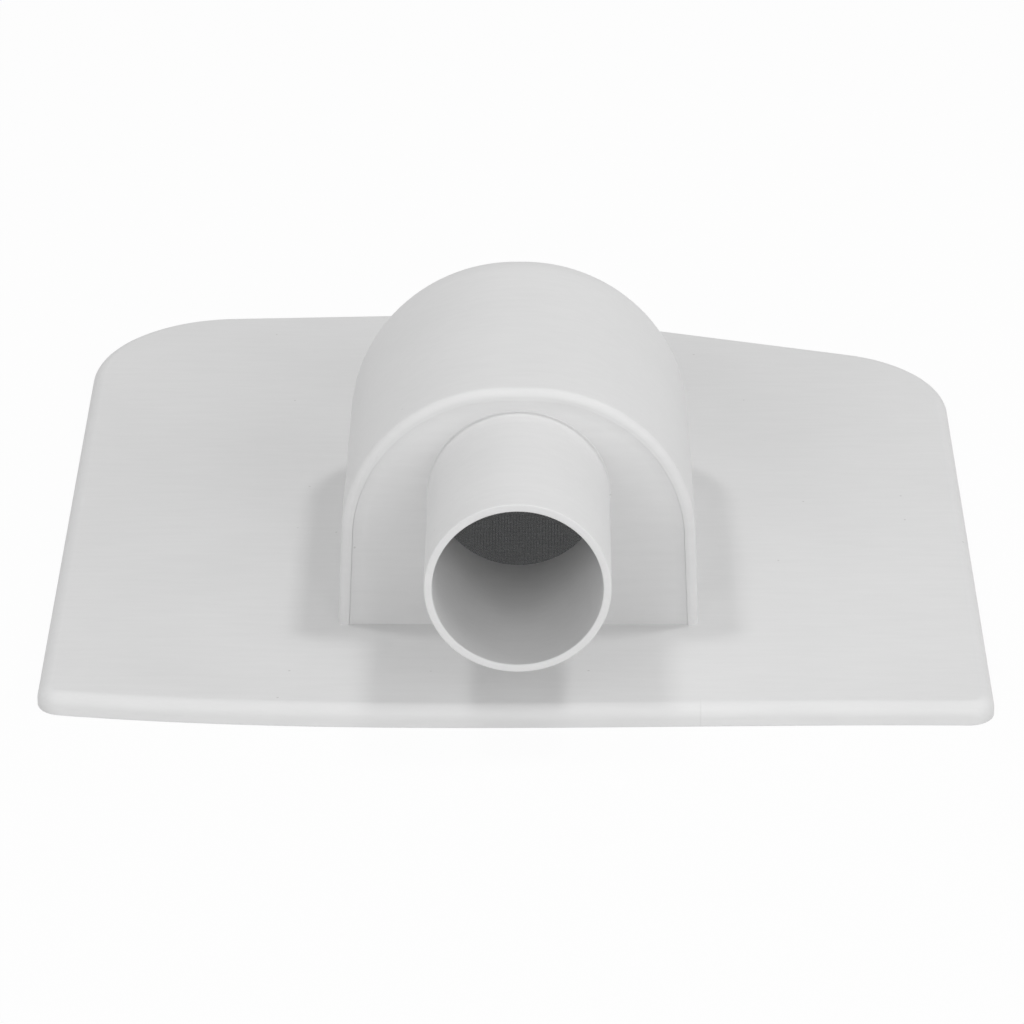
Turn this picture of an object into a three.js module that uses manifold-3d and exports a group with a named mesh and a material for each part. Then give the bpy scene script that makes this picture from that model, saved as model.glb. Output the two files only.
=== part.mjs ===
// A low cowl vent: an arched hood on a flat flange, with a straight hose spigot through its front.
//
// Everything is in millimetres. +Z is up, +X is to the right for someone who faces the spigot, and the spigot
// points along -Y. The origin lies in the underside of the flange, straight below the spigot's axis, in the
// plane of the bulkhead's front face. Solids that stand on the flange are made with z = 0 at its top face.
import * as THREE from "three";
import { mergeVertices } from "three/addons/utils/BufferGeometryUtils.js";
import Module from "manifold-3d";

const wasm = await Module();
wasm.setup();

// Flange: a flat plate with a rounded top edge, a bowed front edge and a rear edge swept back to a point.
const FLANGE_LEFT = 99.9; // from the spigot's axis to the left side
const FLANGE_RIGHT = 98.7; // from the spigot's axis to the right side
const FLANGE_FRONT = 37.7; // from the bulkhead's face to the front edge, where that reaches furthest
const FLANGE_REAR = 163.4; // from the bulkhead's face to the point of the rear edge
const FRONT_SETBACK_LEFT = 5.8; // how far the bowed front edge has gone back at the left corner
const FRONT_SETBACK_RIGHT = 1.5;
const BOW_PULL_LEFT = 4.8; // how far in front of FLANGE_FRONT the bow's left control point lies
const BOW_PULL_RIGHT = -2.6; // its right one lies behind it, so the bow ends in a nearly straight stretch
const REAR_SWEEP_LEFT = 2.9; // degrees
const REAR_SWEEP_RIGHT = 16.9; // degrees
const FRONT_CORNER_RADIUS = 5.5;
const REAR_LEFT_RADIUS = 33;
const REAR_RIGHT_RADIUS = 30.3;
const REAR_POINT_RADIUS = 40;
const INNER_CORNER_RADIUS = 1.5; // least radius where the outline is moved inwards
const FLANGE_HEIGHT = 4.65;
const EDGE_ROUND = 3;
const FLANGE_SKIN = 2.6; // plate left over the lightening pockets

// Hood: an arch with flared sides, a rounded front rim and a domed, closed rear.
const HOOD_REAR = 83.3; // from the bulkhead's face to the back of the hood
const HOOD_LIP = 0.5; // how far the front rim stands proud of the bulkhead
const HOOD_WALL = 2.4;
const HOOD_HEIGHT = 54.9; // above the flange's top face, at the front
const HOOD_HALF_WIDTH = 37.4; // where the arch springs from the sides, at the front
const HOOD_TAPER = 0.3; // how much lower the hood is, and narrower on each side, at its rear
const FRONT_HALF_CROWN = 2.7; // half the flat at the top of the arch
const REAR_HALF_CROWN = 0.5;
const HOOD_FLARE = 2.6; // degrees that the sides lean out below the arch
const HOOD_FRONT_ROUND = 1.9;
const HOOD_REAR_ROUND = 20.7;
const GROOVE_DEPTH = 1; // groove inside the hood that holds the bulkhead's edge
const HOOD_RIB_HEIGHT = 2.2; // rib inside the hood, behind the bulkhead
const HOOD_RIB_WIDTH = 2;

// Bulkhead and spigot.
const BULKHEAD_THICKNESS = 3;
const SPIGOT_OD = 38.1;
const SPIGOT_WALL = 1.7;
const SPIGOT_REACH = 43.8; // from the bulkhead's face to the mouth
const SPIGOT_CROWN_GAP = 2.65; // between the tube's top and the inside of the hood's crown
const SPIGOT_WEB = 1.2; // bulkhead left in front of the spigot's shoulder
const SHOULDER_STEP = 1.4; // how far the shoulder stands out from the tube
const SPIGOT_SEAL_THICKNESS = 0.5;
const MOUTH_CHAMFER = 0.3;

// Saddle on the flange that backs up the spigot's shoulder.
const SADDLE_WIDTH = 20;
const SADDLE_THICKNESS = 2.5;
const SADDLE_LAP = 0.7; // how far the saddle reaches up past the shoulder's lowest point
const BUTTRESS_THICKNESS = 2;
const BUTTRESS_DEPTH = 4.2;
const BUTTRESS_HEIGHT = 8;

// Deck aperture under the hood, with a dam round it that holds spray back.
const APERTURE_FRONT_MARGIN = 6; // from the saddle's buttresses
const APERTURE_REAR_MARGIN = 10.9; // from the inside of the hood's rear wall
const APERTURE_RADIUS = 8;
const DAM_WALL = 2.4;
const DAM_HEIGHT = 6; // above the flange's top face

// Insect screen and the frame that clamps it from below.
const FRAME_EDGE = 0.6; // frame left outside its screws' heads
const FRAME_THICKNESS = 2;
const FRAME_RECESS = 0.2; // frame above the underside of the flange
const FRAME_TO_SCREW = 2; // flange left between the frame's pocket and the hood screws' heads
const SCREEN_LAP = 2.5; // edge of the screen held by the frame
const SCREEN_THICKNESS = 0.6;
const SCREEN_PITCH = 5;
const SCREEN_WIRE = 1;

// Seals under the flange and under the hood's foot.
const GASKET_INSET = 5; // from the flange's edge
const GASKET_WIDTH = 8;
const GASKET_THICKNESS = 2;
const SEAL_WIDTH = 1.2;
const SEAL_HEIGHT = 1.2;

// Pockets that lighten the underside of the flange, and the solid field left round the hood.
const POCKET_PITCH = 22;
const POCKET_RIB = 2;
const POCKET_BORDER = 3; // between the gasket's groove and the pockets
const FIELD_MARGIN = 6; // solid field beyond the hood's foot
const FIELD_FRONT = 14; // solid field in front of the bulkhead

// Screws: self-tapping, driven up from below into bosses.
const HOOD_SCREW = { core: 2.4, head: 5.8, headHeight: 1.9, length: 9 };
const HOOD_SCREW_RECESS = 0.3; // heads above the underside of the flange
const HOOD_BOSS_RADIUS = 3.2;
const HOOD_BOSS_SUNK = 0.8; // how far each boss is sunk into the hood's wall
const HOOD_BOSS_SETBACK = 3.5; // from the hood's rib to the front bosses
const SCREEN_SCREW = { core: 2, head: 4, headHeight: 1, length: 6.4 };
const SCREEN_SCREW_RECESS = 0.2; // heads above the underside of the frame
const SCREEN_BOSS_RADIUS = 3;
const PILOT_SPARE = 1; // pilot hole beyond a screw's tip
const BOSS_CAP = 2; // boss left over its pilot hole
const HEAD_CHAMFER = 0.5;
const HEAD_RIM = 0.2; // straight rim under a countersunk head's face
const DRIVE_WIDTH = 1.1; // slot across each head
const DRIVE_DEPTH = 0.6;

// Clearances and smoothness.
const FIT_GAP = 0.3;
const OVERCUT = 1; // how far a cutting solid runs past the face that it opens
const ARC_STEP = 7.5; // degrees
const ROUND_STEPS = 4;
const DOME_STEPS = 8;
const BOW_STEPS = 8;
const TURNED_STEPS = 20;
const SPIGOT_STEPS = 60;
const WELD = 1e-4;
const RADIANS = Math.PI / 180;

// Places that follow from the sizes.
const spigotRadius = SPIGOT_OD / 2;
const shoulderRadius = spigotRadius + SHOULDER_STEP;
const spigotAxis = HOOD_HEIGHT - HOOD_WALL - SPIGOT_CROWN_GAP - spigotRadius; // above the flange's top face
const sealBottom = FLANGE_HEIGHT - SEAL_HEIGHT;
const grooveEnd = BULKHEAD_THICKNESS + FIT_GAP;
const ribEnd = grooveEnd + HOOD_RIB_WIDTH;
const saddleEnd = grooveEnd + SADDLE_THICKNESS;

const hoodScrewFront = ribEnd + HOOD_BOSS_SETBACK + HOOD_BOSS_RADIUS;
const hoodScrewRear = HOOD_REAR - HOOD_REAR_ROUND;
const hoodScrewReach = (y) => footReach(y, HOOD_WALL, 0) + HOOD_BOSS_SUNK - HOOD_BOSS_RADIUS;
const hoodScrewPlaces = [hoodScrewFront, hoodScrewRear].flatMap((y) => [
  [-hoodScrewReach(y), y],
  [hoodScrewReach(y), y],
]);
const hoodHeadTop = HOOD_SCREW_RECESS + HOOD_SCREW.headHeight;

const screwOffset = SCREEN_LAP + SCREEN_SCREW.head / 2 + 2 * FIT_GAP; // from the aperture's edge
const frameLand = screwOffset + SCREEN_SCREW.head / 2 + FIT_GAP + FRAME_EDGE;
const frameTop = FRAME_RECESS + FRAME_THICKNESS;
const screenBottom = frameTop - SCREEN_THICKNESS;
const screenScrewStart = FRAME_RECESS + SCREEN_SCREW_RECESS;
const headReach = HOOD_SCREW.head / 2 + 2 * FIT_GAP;
const apertureHalfWidth = hoodScrewReach(hoodScrewRear) - headReach - FRAME_TO_SCREW - frameLand;
const apertureFront = saddleEnd + BUTTRESS_DEPTH + APERTURE_FRONT_MARGIN;
const apertureRear = HOOD_REAR - HOOD_WALL - APERTURE_REAR_MARGIN;
const apertureMiddle = (apertureFront + apertureRear) / 2;
const apertureCornerX = apertureHalfWidth - APERTURE_RADIUS; // centres of the aperture's rounded corners
const apertureCornerY = (apertureRear - apertureFront) / 2 - APERTURE_RADIUS;

// The frame's screws stand on the diagonals of those corners, just clear of the screen's edge.
const screwDiagonal = (APERTURE_RADIUS + screwOffset) * Math.SQRT1_2;
const screenScrewPlaces = [-1, 1].flatMap((end) => {
  const y = apertureMiddle + end * (apertureCornerY + screwDiagonal);
  return [
    [-apertureCornerX - screwDiagonal, y],
    [apertureCornerX + screwDiagonal, y],
  ];
});

// Solids and geometries.

function point(x, y) {
  return new THREE.Vector2(x, y);
}

function toSolid(geometry) {
  const bare = geometry.clone();
  bare.deleteAttribute("normal");
  bare.deleteAttribute("uv");
  const merged = mergeVertices(bare, WELD);
  const vertProperties = merged.attributes.position.array;
  const triVerts = new Uint32Array(merged.index.array);
  return new wasm.Manifold(new wasm.Mesh({ numProp: 3, vertProperties, triVerts }));
}

function toGeometry(solid) {
  const { numProp, vertProperties, triVerts } = solid.getMesh();
  const geometry = new THREE.BufferGeometry();
  geometry.setAttribute("position", new THREE.BufferAttribute(vertProperties, numProp));
  geometry.setIndex(new THREE.BufferAttribute(triVerts, 1));
  geometry.computeVertexNormals();
  return geometry;
}

const join = (solids) => solids.reduce((all, next) => all.add(next));

// An outline raised from z = low to z = high.
function prism(outline, low, high) {
  const shape = new THREE.Shape(outline);
  const geometry = new THREE.ExtrudeGeometry(shape, { depth: high - low, bevelEnabled: false });
  return toSolid(geometry.translate(0, 0, low));
}

function box(x0, x1, y0, y1, z0, z1) {
  const geometry = new THREE.BoxGeometry(x1 - x0, y1 - y0, z1 - z0);
  return toSolid(geometry.translate((x0 + x1) / 2, (y0 + y1) / 2, (z0 + z1) / 2));
}

function post(radius, [x, y], low, high) {
  const geometry = new THREE.CylinderGeometry(radius, radius, high - low, TURNED_STEPS);
  return toSolid(geometry.rotateX(Math.PI / 2).translate(x, y, (low + high) / 2));
}

// Outlines.

// A closed convex outline, counter-clockwise, with each corner rounded to its radius.
function roundedOutline(corners) {
  const points = [];
  corners.forEach(({ at, radius }, i) => {
    if (!radius) {
      points.push(at);
      return;
    }
    const toBefore = corners.at(i - 1).at.clone().sub(at).normalize();
    const toAfter = corners[(i + 1) % corners.length].at.clone().sub(at).normalize();
    const half = Math.acos(toBefore.dot(toAfter)) / 2;
    const inward = toBefore.clone().add(toAfter).normalize();
    const centre = at.clone().addScaledVector(inward, radius / Math.sin(half));
    const start = at.clone().addScaledVector(toBefore, radius / Math.tan(half)).sub(centre).angle();
    const sweep = Math.PI - 2 * half;
    const steps = Math.ceil(sweep / (ARC_STEP * RADIANS));
    for (let k = 0; k <= steps; k++) {
      const angle = start + (sweep * k) / steps;
      points.push(point(centre.x + radius * Math.cos(angle), centre.y + radius * Math.sin(angle)));
    }
  });
  return points;
}

// The same outline moved inwards by a distance, or outwards by a negative one.
function insetOutline(outline, distance) {
  return outline.map((at, i) => {
    const before = at.clone().sub(outline.at(i - 1)).normalize();
    const after = outline[(i + 1) % outline.length].clone().sub(at).normalize();
    const mitre = point(-before.y - after.y, before.x + after.x);
    const scale = distance / (1 + before.dot(after));
    return at.clone().addScaledVector(mitre, scale);
  });
}

// The flange's outline, moved inwards by a distance.
function flangeOutline(inset) {
  const left = point(-FLANGE_LEFT, FRONT_SETBACK_LEFT - FLANGE_FRONT);
  const right = point(FLANGE_RIGHT, FRONT_SETBACK_RIGHT - FLANGE_FRONT);
  const third = (right.x - left.x) / 3;
  const leftControl = point(left.x + third, -FLANGE_FRONT - BOW_PULL_LEFT);
  const rightControl = point(right.x - third, -FLANGE_FRONT - BOW_PULL_RIGHT);
  const bow = new THREE.CubicBezierCurve(left, leftControl, rightControl, right).getPoints(BOW_STEPS);
  const rearRight = FLANGE_REAR - FLANGE_RIGHT * Math.tan(REAR_SWEEP_RIGHT * RADIANS);
  const rearLeft = FLANGE_REAR - FLANGE_LEFT * Math.tan(REAR_SWEEP_LEFT * RADIANS);
  const corners = [
    { at: left, radius: FRONT_CORNER_RADIUS },
    ...bow.slice(1, -1).map((at) => ({ at, radius: 0 })),
    { at: right, radius: FRONT_CORNER_RADIUS },
    { at: point(FLANGE_RIGHT, rearRight), radius: REAR_RIGHT_RADIUS },
    { at: point(0, FLANGE_REAR), radius: REAR_POINT_RADIUS },
    { at: point(-FLANGE_LEFT, rearLeft), radius: REAR_LEFT_RADIUS },
  ];
  const moved = insetOutline(
    corners.map(({ at }) => at),
    inset,
  );
  return roundedOutline(
    corners.map(({ radius }, i) => {
      const kept = radius && Math.max(radius - inset, INNER_CORNER_RADIUS);
      return { at: moved[i], radius: kept };
    }),
  );
}

// The aperture's outline, grown by a margin with its corners kept concentric.
function apertureOutline(margin) {
  const x = apertureHalfWidth + margin;
  const radius = APERTURE_RADIUS + margin;
  return roundedOutline([
    { at: point(-x, apertureFront - margin), radius },
    { at: point(x, apertureFront - margin), radius },
    { at: point(x, apertureRear + margin), radius },
    { at: point(-x, apertureRear + margin), radius },
  ]);
}

// Sizes of the hood's arch at a distance behind the bulkhead's face.
function archAt(y) {
  const share = (y + HOOD_LIP) / (HOOD_REAR + HOOD_LIP);
  const halfCrown = THREE.MathUtils.lerp(FRONT_HALF_CROWN, REAR_HALF_CROWN, share);
  const radius = HOOD_HALF_WIDTH - HOOD_TAPER * share - halfCrown;
  return { halfCrown, radius, spring: HOOD_HEIGHT - HOOD_TAPER * share - radius };
}

// Half the width of the arch at its foot, for a surface inset from the outside of the hood.
function footReach(y, inset, foot) {
  const { halfCrown, radius, spring } = archAt(y);
  return halfCrown + radius - inset + (spring - foot) * Math.tan(HOOD_FLARE * RADIANS);
}

// The arch's section in X and Z, from its right foot over the crown to its left foot.
function archSection(y, inset, foot) {
  const { halfCrown, radius, spring } = archAt(y);
  const right = [point(footReach(y, inset, foot), foot)];
  const quarter = 90 / ARC_STEP;
  for (let k = 0; k <= quarter; k++) {
    const angle = k * ARC_STEP * RADIANS;
    const x = halfCrown + (radius - inset) * Math.cos(angle);
    right.push(point(x, spring + (radius - inset) * Math.sin(angle)));
  }
  const left = right.map(({ x, y: z }) => point(-x, z)).reverse();
  return [...right, ...left];
}

// A closed solid through arch sections, each one { y, inset }.
function archSolid(stations, foot) {
  const rings = stations.map(({ y, inset }) => archSection(y, inset, foot));
  const count = rings[0].length;
  const positions = rings.flatMap((ring, i) => ring.flatMap((at) => [at.x, stations[i].y, at.y]));
  const index = [];
  for (let j = 0; j < count; j++) {
    const next = (j + 1) % count;
    for (let i = 0; i < rings.length - 1; i++) {
      const near = i * count;
      const far = near + count;
      index.push(near + j, far + j, far + next, near + j, far + next, near + next);
    }
  }
  const last = (rings.length - 1) * count;
  for (let j = 1; j < count - 1; j++) index.push(0, j, j + 1, last, last + j + 1, last + j);
  const geometry = new THREE.BufferGeometry();
  geometry.setAttribute("position", new THREE.Float32BufferAttribute(positions, 3));
  geometry.setIndex(index);
  return toSolid(geometry);
}

// Stations of the domed rear of the hood, for a surface inset from its outside.
function domeStations(inset) {
  const round = HOOD_REAR_ROUND - inset;
  return Array.from({ length: DOME_STEPS + 1 }, (_, k) => {
    const angle = (k / DOME_STEPS) * (Math.PI / 2);
    const y = HOOD_REAR - HOOD_REAR_ROUND + round * Math.sin(angle);
    return { y, inset: inset + round * (1 - Math.cos(angle)) };
  });
}

// The line that the middle of the hood's wall and of the bulkhead draws on the flange.
function footLine() {
  const middle = HOOD_WALL / 2;
  const front = BULKHEAD_THICKNESS / 2;
  const right = [{ y: front, inset: middle }, ...domeStations(middle)];
  const rightLine = right.map(({ y, inset }) => point(footReach(y, inset, 0), y));
  return [...rightLine, ...rightLine.map(({ x, y }) => point(-x, y)).reverse()];
}

// The hood.

function cowlHood() {
  const rim = Array.from({ length: ROUND_STEPS + 1 }, (_, k) => {
    const angle = (k / ROUND_STEPS) * (Math.PI / 2);
    const y = HOOD_FRONT_ROUND * (1 - Math.cos(angle)) - HOOD_LIP;
    return { y, inset: HOOD_FRONT_ROUND * (1 - Math.sin(angle)) };
  });
  const outside = archSolid([...rim, ...domeStations(0)], 0);
  const room = (y0, y1, inset) => [{ y: y0, inset }, { y: y1, inset }];
  const inside = join([
    archSolid(room(-HOOD_LIP - OVERCUT, 0, HOOD_WALL), -OVERCUT),
    archSolid(room(0, grooveEnd, HOOD_WALL - GROOVE_DEPTH), -OVERCUT),
    archSolid(room(grooveEnd, ribEnd, HOOD_WALL + HOOD_RIB_HEIGHT), -OVERCUT),
    archSolid([{ y: ribEnd, inset: HOOD_WALL }, ...domeStations(HOOD_WALL)], -OVERCUT),
  ]);
  const pilotTop = hoodHeadTop + HOOD_SCREW.length + PILOT_SPARE - FLANGE_HEIGHT;
  const bosses = hoodScrewPlaces.map((at) => post(HOOD_BOSS_RADIUS, at, 0, pilotTop + BOSS_CAP));
  const pilots = hoodScrewPlaces.map((at) => post(HOOD_SCREW.core / 2 + FIT_GAP, at, -OVERCUT, pilotTop));
  return outside.subtract(inside).add(join(bosses)).subtract(join(pilots));
}

// The bulkhead and the spigot.

// A ring turned about the spigot's axis, from its outline in radius and y.
function turnedRing(outline) {
  const closed = [...outline, outline[0]].map(([radius, y]) => point(radius, y));
  const geometry = new THREE.LatheGeometry(closed, SPIGOT_STEPS);
  return toSolid(geometry.translate(0, 0, spigotAxis));
}

function plainRing(inner, outer, y0, y1) {
  return turnedRing([
    [inner, y0],
    [outer, y0],
    [outer, y1],
    [inner, y1],
  ]);
}

function spigotDisc(radius, y0, y1) {
  const geometry = new THREE.CylinderGeometry(radius, radius, y1 - y0, SPIGOT_STEPS);
  return toSolid(geometry.translate(0, (y0 + y1) / 2, spigotAxis));
}

function frontBulkhead() {
  const outline = archSection(0, HOOD_WALL - GROOVE_DEPTH + FIT_GAP, 0);
  const geometry = new THREE.ExtrudeGeometry(new THREE.Shape(outline), {
    depth: BULKHEAD_THICKNESS,
    bevelEnabled: false,
  });
  const plate = toSolid(geometry.rotateX(Math.PI / 2).translate(0, BULKHEAD_THICKNESS, 0));
  const hole = spigotDisc(spigotRadius + FIT_GAP, -OVERCUT, BULKHEAD_THICKNESS);
  const rebate = spigotDisc(shoulderRadius + FIT_GAP, SPIGOT_WEB, BULKHEAD_THICKNESS + OVERCUT);
  return plate.subtract(hole.add(rebate));
}

function spigotSeal() {
  const start = SPIGOT_WEB;
  return plainRing(spigotRadius + FIT_GAP, shoulderRadius, start, start + SPIGOT_SEAL_THICKNESS);
}

// The tube runs back to a shoulder that ends flush with the bulkhead, with a lead at the back of its bore.
function hoseSpigot() {
  const bore = spigotRadius - SPIGOT_WALL;
  const shoulder = SPIGOT_WEB + SPIGOT_SEAL_THICKNESS;
  return turnedRing([
    [bore + MOUTH_CHAMFER, -SPIGOT_REACH],
    [spigotRadius - MOUTH_CHAMFER, -SPIGOT_REACH],
    [spigotRadius, MOUTH_CHAMFER - SPIGOT_REACH],
    [spigotRadius, shoulder],
    [shoulderRadius, shoulder],
    [shoulderRadius, BULKHEAD_THICKNESS],
    [spigotRadius, BULKHEAD_THICKNESS],
    [bore, BULKHEAD_THICKNESS - SPIGOT_WALL],
    [bore, MOUTH_CHAMFER - SPIGOT_REACH],
  ]);
}

// The flange.

function saddle() {
  const top = FLANGE_HEIGHT + spigotAxis - shoulderRadius + SADDLE_LAP;
  const wall = box(-SADDLE_WIDTH / 2, SADDLE_WIDTH / 2, grooveEnd, saddleEnd, FLANGE_SKIN, top);
  const buttresses = [-1, 1].map((side) => {
    const x = (side * (SADDLE_WIDTH - BUTTRESS_THICKNESS)) / 2;
    const x0 = x - BUTTRESS_THICKNESS / 2;
    const rear = saddleEnd + BUTTRESS_DEPTH;
    return box(x0, x0 + BUTTRESS_THICKNESS, grooveEnd, rear, FLANGE_SKIN, FLANGE_HEIGHT + BUTTRESS_HEIGHT);
  });
  return wall.add(join(buttresses));
}

// The pockets' square cells, trimmed to stay inside the gasket and out of the solid field round the hood.
function pockets() {
  const depth = FLANGE_HEIGHT - FLANGE_SKIN;
  const inner = flangeOutline(GASKET_INSET + GASKET_WIDTH + POCKET_BORDER);
  const fieldSide = footReach(0, 0, 0) + FIELD_MARGIN;
  const field = box(-fieldSide, fieldSide, -FIELD_FRONT, HOOD_REAR + FIELD_MARGIN, -OVERCUT, FLANGE_HEIGHT);
  const columns = Math.ceil(Math.max(FLANGE_LEFT, FLANGE_RIGHT) / POCKET_PITCH);
  const rows = Math.ceil((FLANGE_FRONT + FLANGE_REAR) / POCKET_PITCH);
  const side = POCKET_PITCH - POCKET_RIB;
  const cells = [];
  for (let column = -columns; column < columns; column++) {
    for (let row = 0; row < rows; row++) {
      const x = column * POCKET_PITCH + POCKET_RIB / 2;
      const y = row * POCKET_PITCH + POCKET_RIB / 2 - FIELD_FRONT - POCKET_PITCH;
      cells.push(box(x, x + side, y, y + side, -OVERCUT, depth));
    }
  }
  return join(cells).intersect(prism(inner, -OVERCUT, depth)).subtract(field);
}

function flangeSlab() {
  const geometry = new THREE.ExtrudeGeometry(new THREE.Shape(flangeOutline(0)), {
    depth: FLANGE_HEIGHT,
    bevelSize: EDGE_ROUND,
    bevelOffset: -EDGE_ROUND,
    bevelThickness: EDGE_ROUND,
    bevelSegments: ROUND_STEPS,
  });
  const slab = toSolid(geometry.translate(0, 0, -EDGE_ROUND));
  return slab.intersect(prism(flangeOutline(-OVERCUT), 0, FLANGE_HEIGHT + OVERCUT));
}

function flangePlate() {
  const damTop = FLANGE_HEIGHT + DAM_HEIGHT;
  const pilotTop = screenScrewStart + SCREEN_SCREW.length + PILOT_SPARE;
  const bossTop = pilotTop + BOSS_CAP;
  const bosses = screenScrewPlaces.map((at) => post(SCREEN_BOSS_RADIUS, at, FLANGE_SKIN, bossTop));
  const dam = prism(apertureOutline(DAM_WALL), FLANGE_SKIN, damTop);
  const grooveOut = flangeOutline(GASKET_INSET - FIT_GAP);
  const grooveIn = flangeOutline(GASKET_INSET + GASKET_WIDTH + FIT_GAP);
  const gasketGroove = prism(grooveOut, -OVERCUT, GASKET_THICKNESS).subtract(
    prism(grooveIn, -2 * OVERCUT, GASKET_THICKNESS + OVERCUT),
  );
  const sealGroove = sealRing(FIT_GAP, sealBottom, FLANGE_HEIGHT + OVERCUT);
  const cuts = [
    prism(apertureOutline(0), -OVERCUT, damTop + OVERCUT),
    prism(apertureOutline(frameLand + FIT_GAP), -OVERCUT, frameTop),
    gasketGroove,
    sealGroove,
    pockets(),
    ...screenScrewPlaces.map((at) => post(SCREEN_SCREW.core / 2 + FIT_GAP, at, 0, pilotTop)),
    ...hoodScrewPlaces.map((at) => post(HOOD_SCREW.core / 2 + FIT_GAP, at, 0, FLANGE_HEIGHT + OVERCUT)),
    ...hoodScrewPlaces.map((at) => post(HOOD_SCREW.head / 2 + FIT_GAP, at, -OVERCUT, hoodHeadTop)),
  ];
  return join([flangeSlab(), dam, saddle(), ...bosses]).subtract(join(cuts));
}

// Seals.

function sealRing(spare, low, high) {
  const line = footLine();
  const half = SEAL_WIDTH / 2 + spare;
  const outer = prism(insetOutline(line, -half), low, high);
  return outer.subtract(prism(insetOutline(line, half), low - OVERCUT, high + OVERCUT));
}

function flangeGasket() {
  const outer = prism(flangeOutline(GASKET_INSET), 0, GASKET_THICKNESS);
  const inner = flangeOutline(GASKET_INSET + GASKET_WIDTH);
  return outer.subtract(prism(inner, -OVERCUT, GASKET_THICKNESS + OVERCUT));
}

// The insect screen and its frame.

function insectScreen() {
  const columns = Math.floor((2 * apertureHalfWidth + SCREEN_WIRE) / SCREEN_PITCH);
  const rows = Math.floor((apertureRear - apertureFront + SCREEN_WIRE) / SCREEN_PITCH);
  const half = (SCREEN_PITCH - SCREEN_WIRE) / 2;
  const gaps = [];
  for (let column = 0; column < columns; column++) {
    for (let row = 0; row < rows; row++) {
      const x = (column - (columns - 1) / 2) * SCREEN_PITCH;
      const y = (row - (rows - 1) / 2) * SCREEN_PITCH;
      const overX = Math.max(Math.abs(x) + half - apertureCornerX, 0);
      const overY = Math.max(Math.abs(y) + half - apertureCornerY, 0);
      if (Math.hypot(overX, overY) > APERTURE_RADIUS) continue;
      const mid = apertureMiddle + y;
      gaps.push(box(x - half, x + half, mid - half, mid + half, 0, frameTop + OVERCUT));
    }
  }
  return prism(apertureOutline(SCREEN_LAP), screenBottom, frameTop).subtract(join(gaps));
}

function screenFrame() {
  const outer = prism(apertureOutline(frameLand), FRAME_RECESS, frameTop);
  const window = prism(apertureOutline(0), 0, frameTop + OVERCUT);
  const rebate = prism(apertureOutline(SCREEN_LAP + FIT_GAP), screenBottom, frameTop + OVERCUT);
  const holes = screenScrewPlaces.map(([x, y]) => {
    const sink = turnedUp(countersunkOutline(SCREEN_SCREW, FIT_GAP, OVERCUT));
    return sink.translate([x, y, screenScrewStart]);
  });
  return outer.subtract(join([window, rebate, ...holes]));
}

// Screws.

// A solid turned about Z, from its outline in radius and z that starts and ends on the axis.
function turnedUp(outline) {
  const geometry = new THREE.LatheGeometry(outline.map(([r, z]) => point(r, z)), TURNED_STEPS);
  return toSolid(geometry.rotateX(Math.PI / 2));
}

// The screw's own outline, or with some spare and a mouth below it, that of the hole that it sinks into.
function countersunkOutline({ core, head, headHeight, length }, spare, mouth) {
  const shank = core / 2 + spare;
  return [
    [0, -mouth],
    [head / 2 + spare, -mouth],
    [head / 2 + spare, HEAD_RIM],
    [shank, headHeight + HEAD_RIM],
    [shank, length - shank],
    [0, length],
  ];
}

function panOutline({ core, head, headHeight, length }) {
  const shank = core / 2;
  const tip = headHeight + length;
  return [
    [0, 0],
    [head / 2 - HEAD_CHAMFER, 0],
    [head / 2, HEAD_CHAMFER],
    [head / 2, headHeight],
    [shank, headHeight],
    [shank, tip - shank],
    [0, tip],
  ];
}

function slotted(screw, { head }) {
  const reach = head / 2 + OVERCUT;
  const half = DRIVE_WIDTH / 2;
  return screw.subtract(box(-reach, reach, -half, half, -OVERCUT, DRIVE_DEPTH));
}

// The assembly.

const finishes = {
  moulding: { color: 0xd4d4d4, roughness: 0.42, metalness: 0 },
  rubber: { color: 0x2c2d2e, roughness: 0.9, metalness: 0 },
  steel: { color: 0xb9bcbf, roughness: 0.32, metalness: 1 },
  blackPlastic: { color: 0x3a3c3e, roughness: 0.5, metalness: 0 },
  greyMesh: { color: 0xb6b7b8, roughness: 0.6, metalness: 0 },
};

function piece(name, geometry, finish) {
  const mesh = new THREE.Mesh(geometry, new THREE.MeshStandardMaterial(finish));
  mesh.name = name;
  return mesh;
}

const vent = new THREE.Group();
const onFlange = new THREE.Group();
onFlange.position.z = FLANGE_HEIGHT;
vent.add(onFlange);

onFlange.add(piece("cowl_hood", toGeometry(cowlHood()), finishes.moulding));
onFlange.add(piece("front_bulkhead", toGeometry(frontBulkhead()), finishes.moulding));
onFlange.add(piece("hose_spigot", toGeometry(hoseSpigot()), finishes.moulding));
onFlange.add(piece("spigot_seal", toGeometry(spigotSeal()), finishes.rubber));

vent.add(piece("flange_plate", toGeometry(flangePlate()), finishes.moulding));
vent.add(piece("flange_gasket", toGeometry(flangeGasket()), finishes.rubber));
vent.add(piece("hood_seal", toGeometry(sealRing(0, sealBottom, FLANGE_HEIGHT)), finishes.rubber));
vent.add(piece("screen_frame", toGeometry(screenFrame()), finishes.blackPlastic));
vent.add(piece("insect_screen", toGeometry(insectScreen()), finishes.greyMesh));

hoodScrewPlaces.forEach(([x, y], i) => {
  const screw = toGeometry(slotted(turnedUp(panOutline(HOOD_SCREW)), HOOD_SCREW));
  const mesh = piece(`hood_screw_${i + 1}`, screw, finishes.steel);
  mesh.position.set(x, y, HOOD_SCREW_RECESS);
  vent.add(mesh);
});

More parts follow.
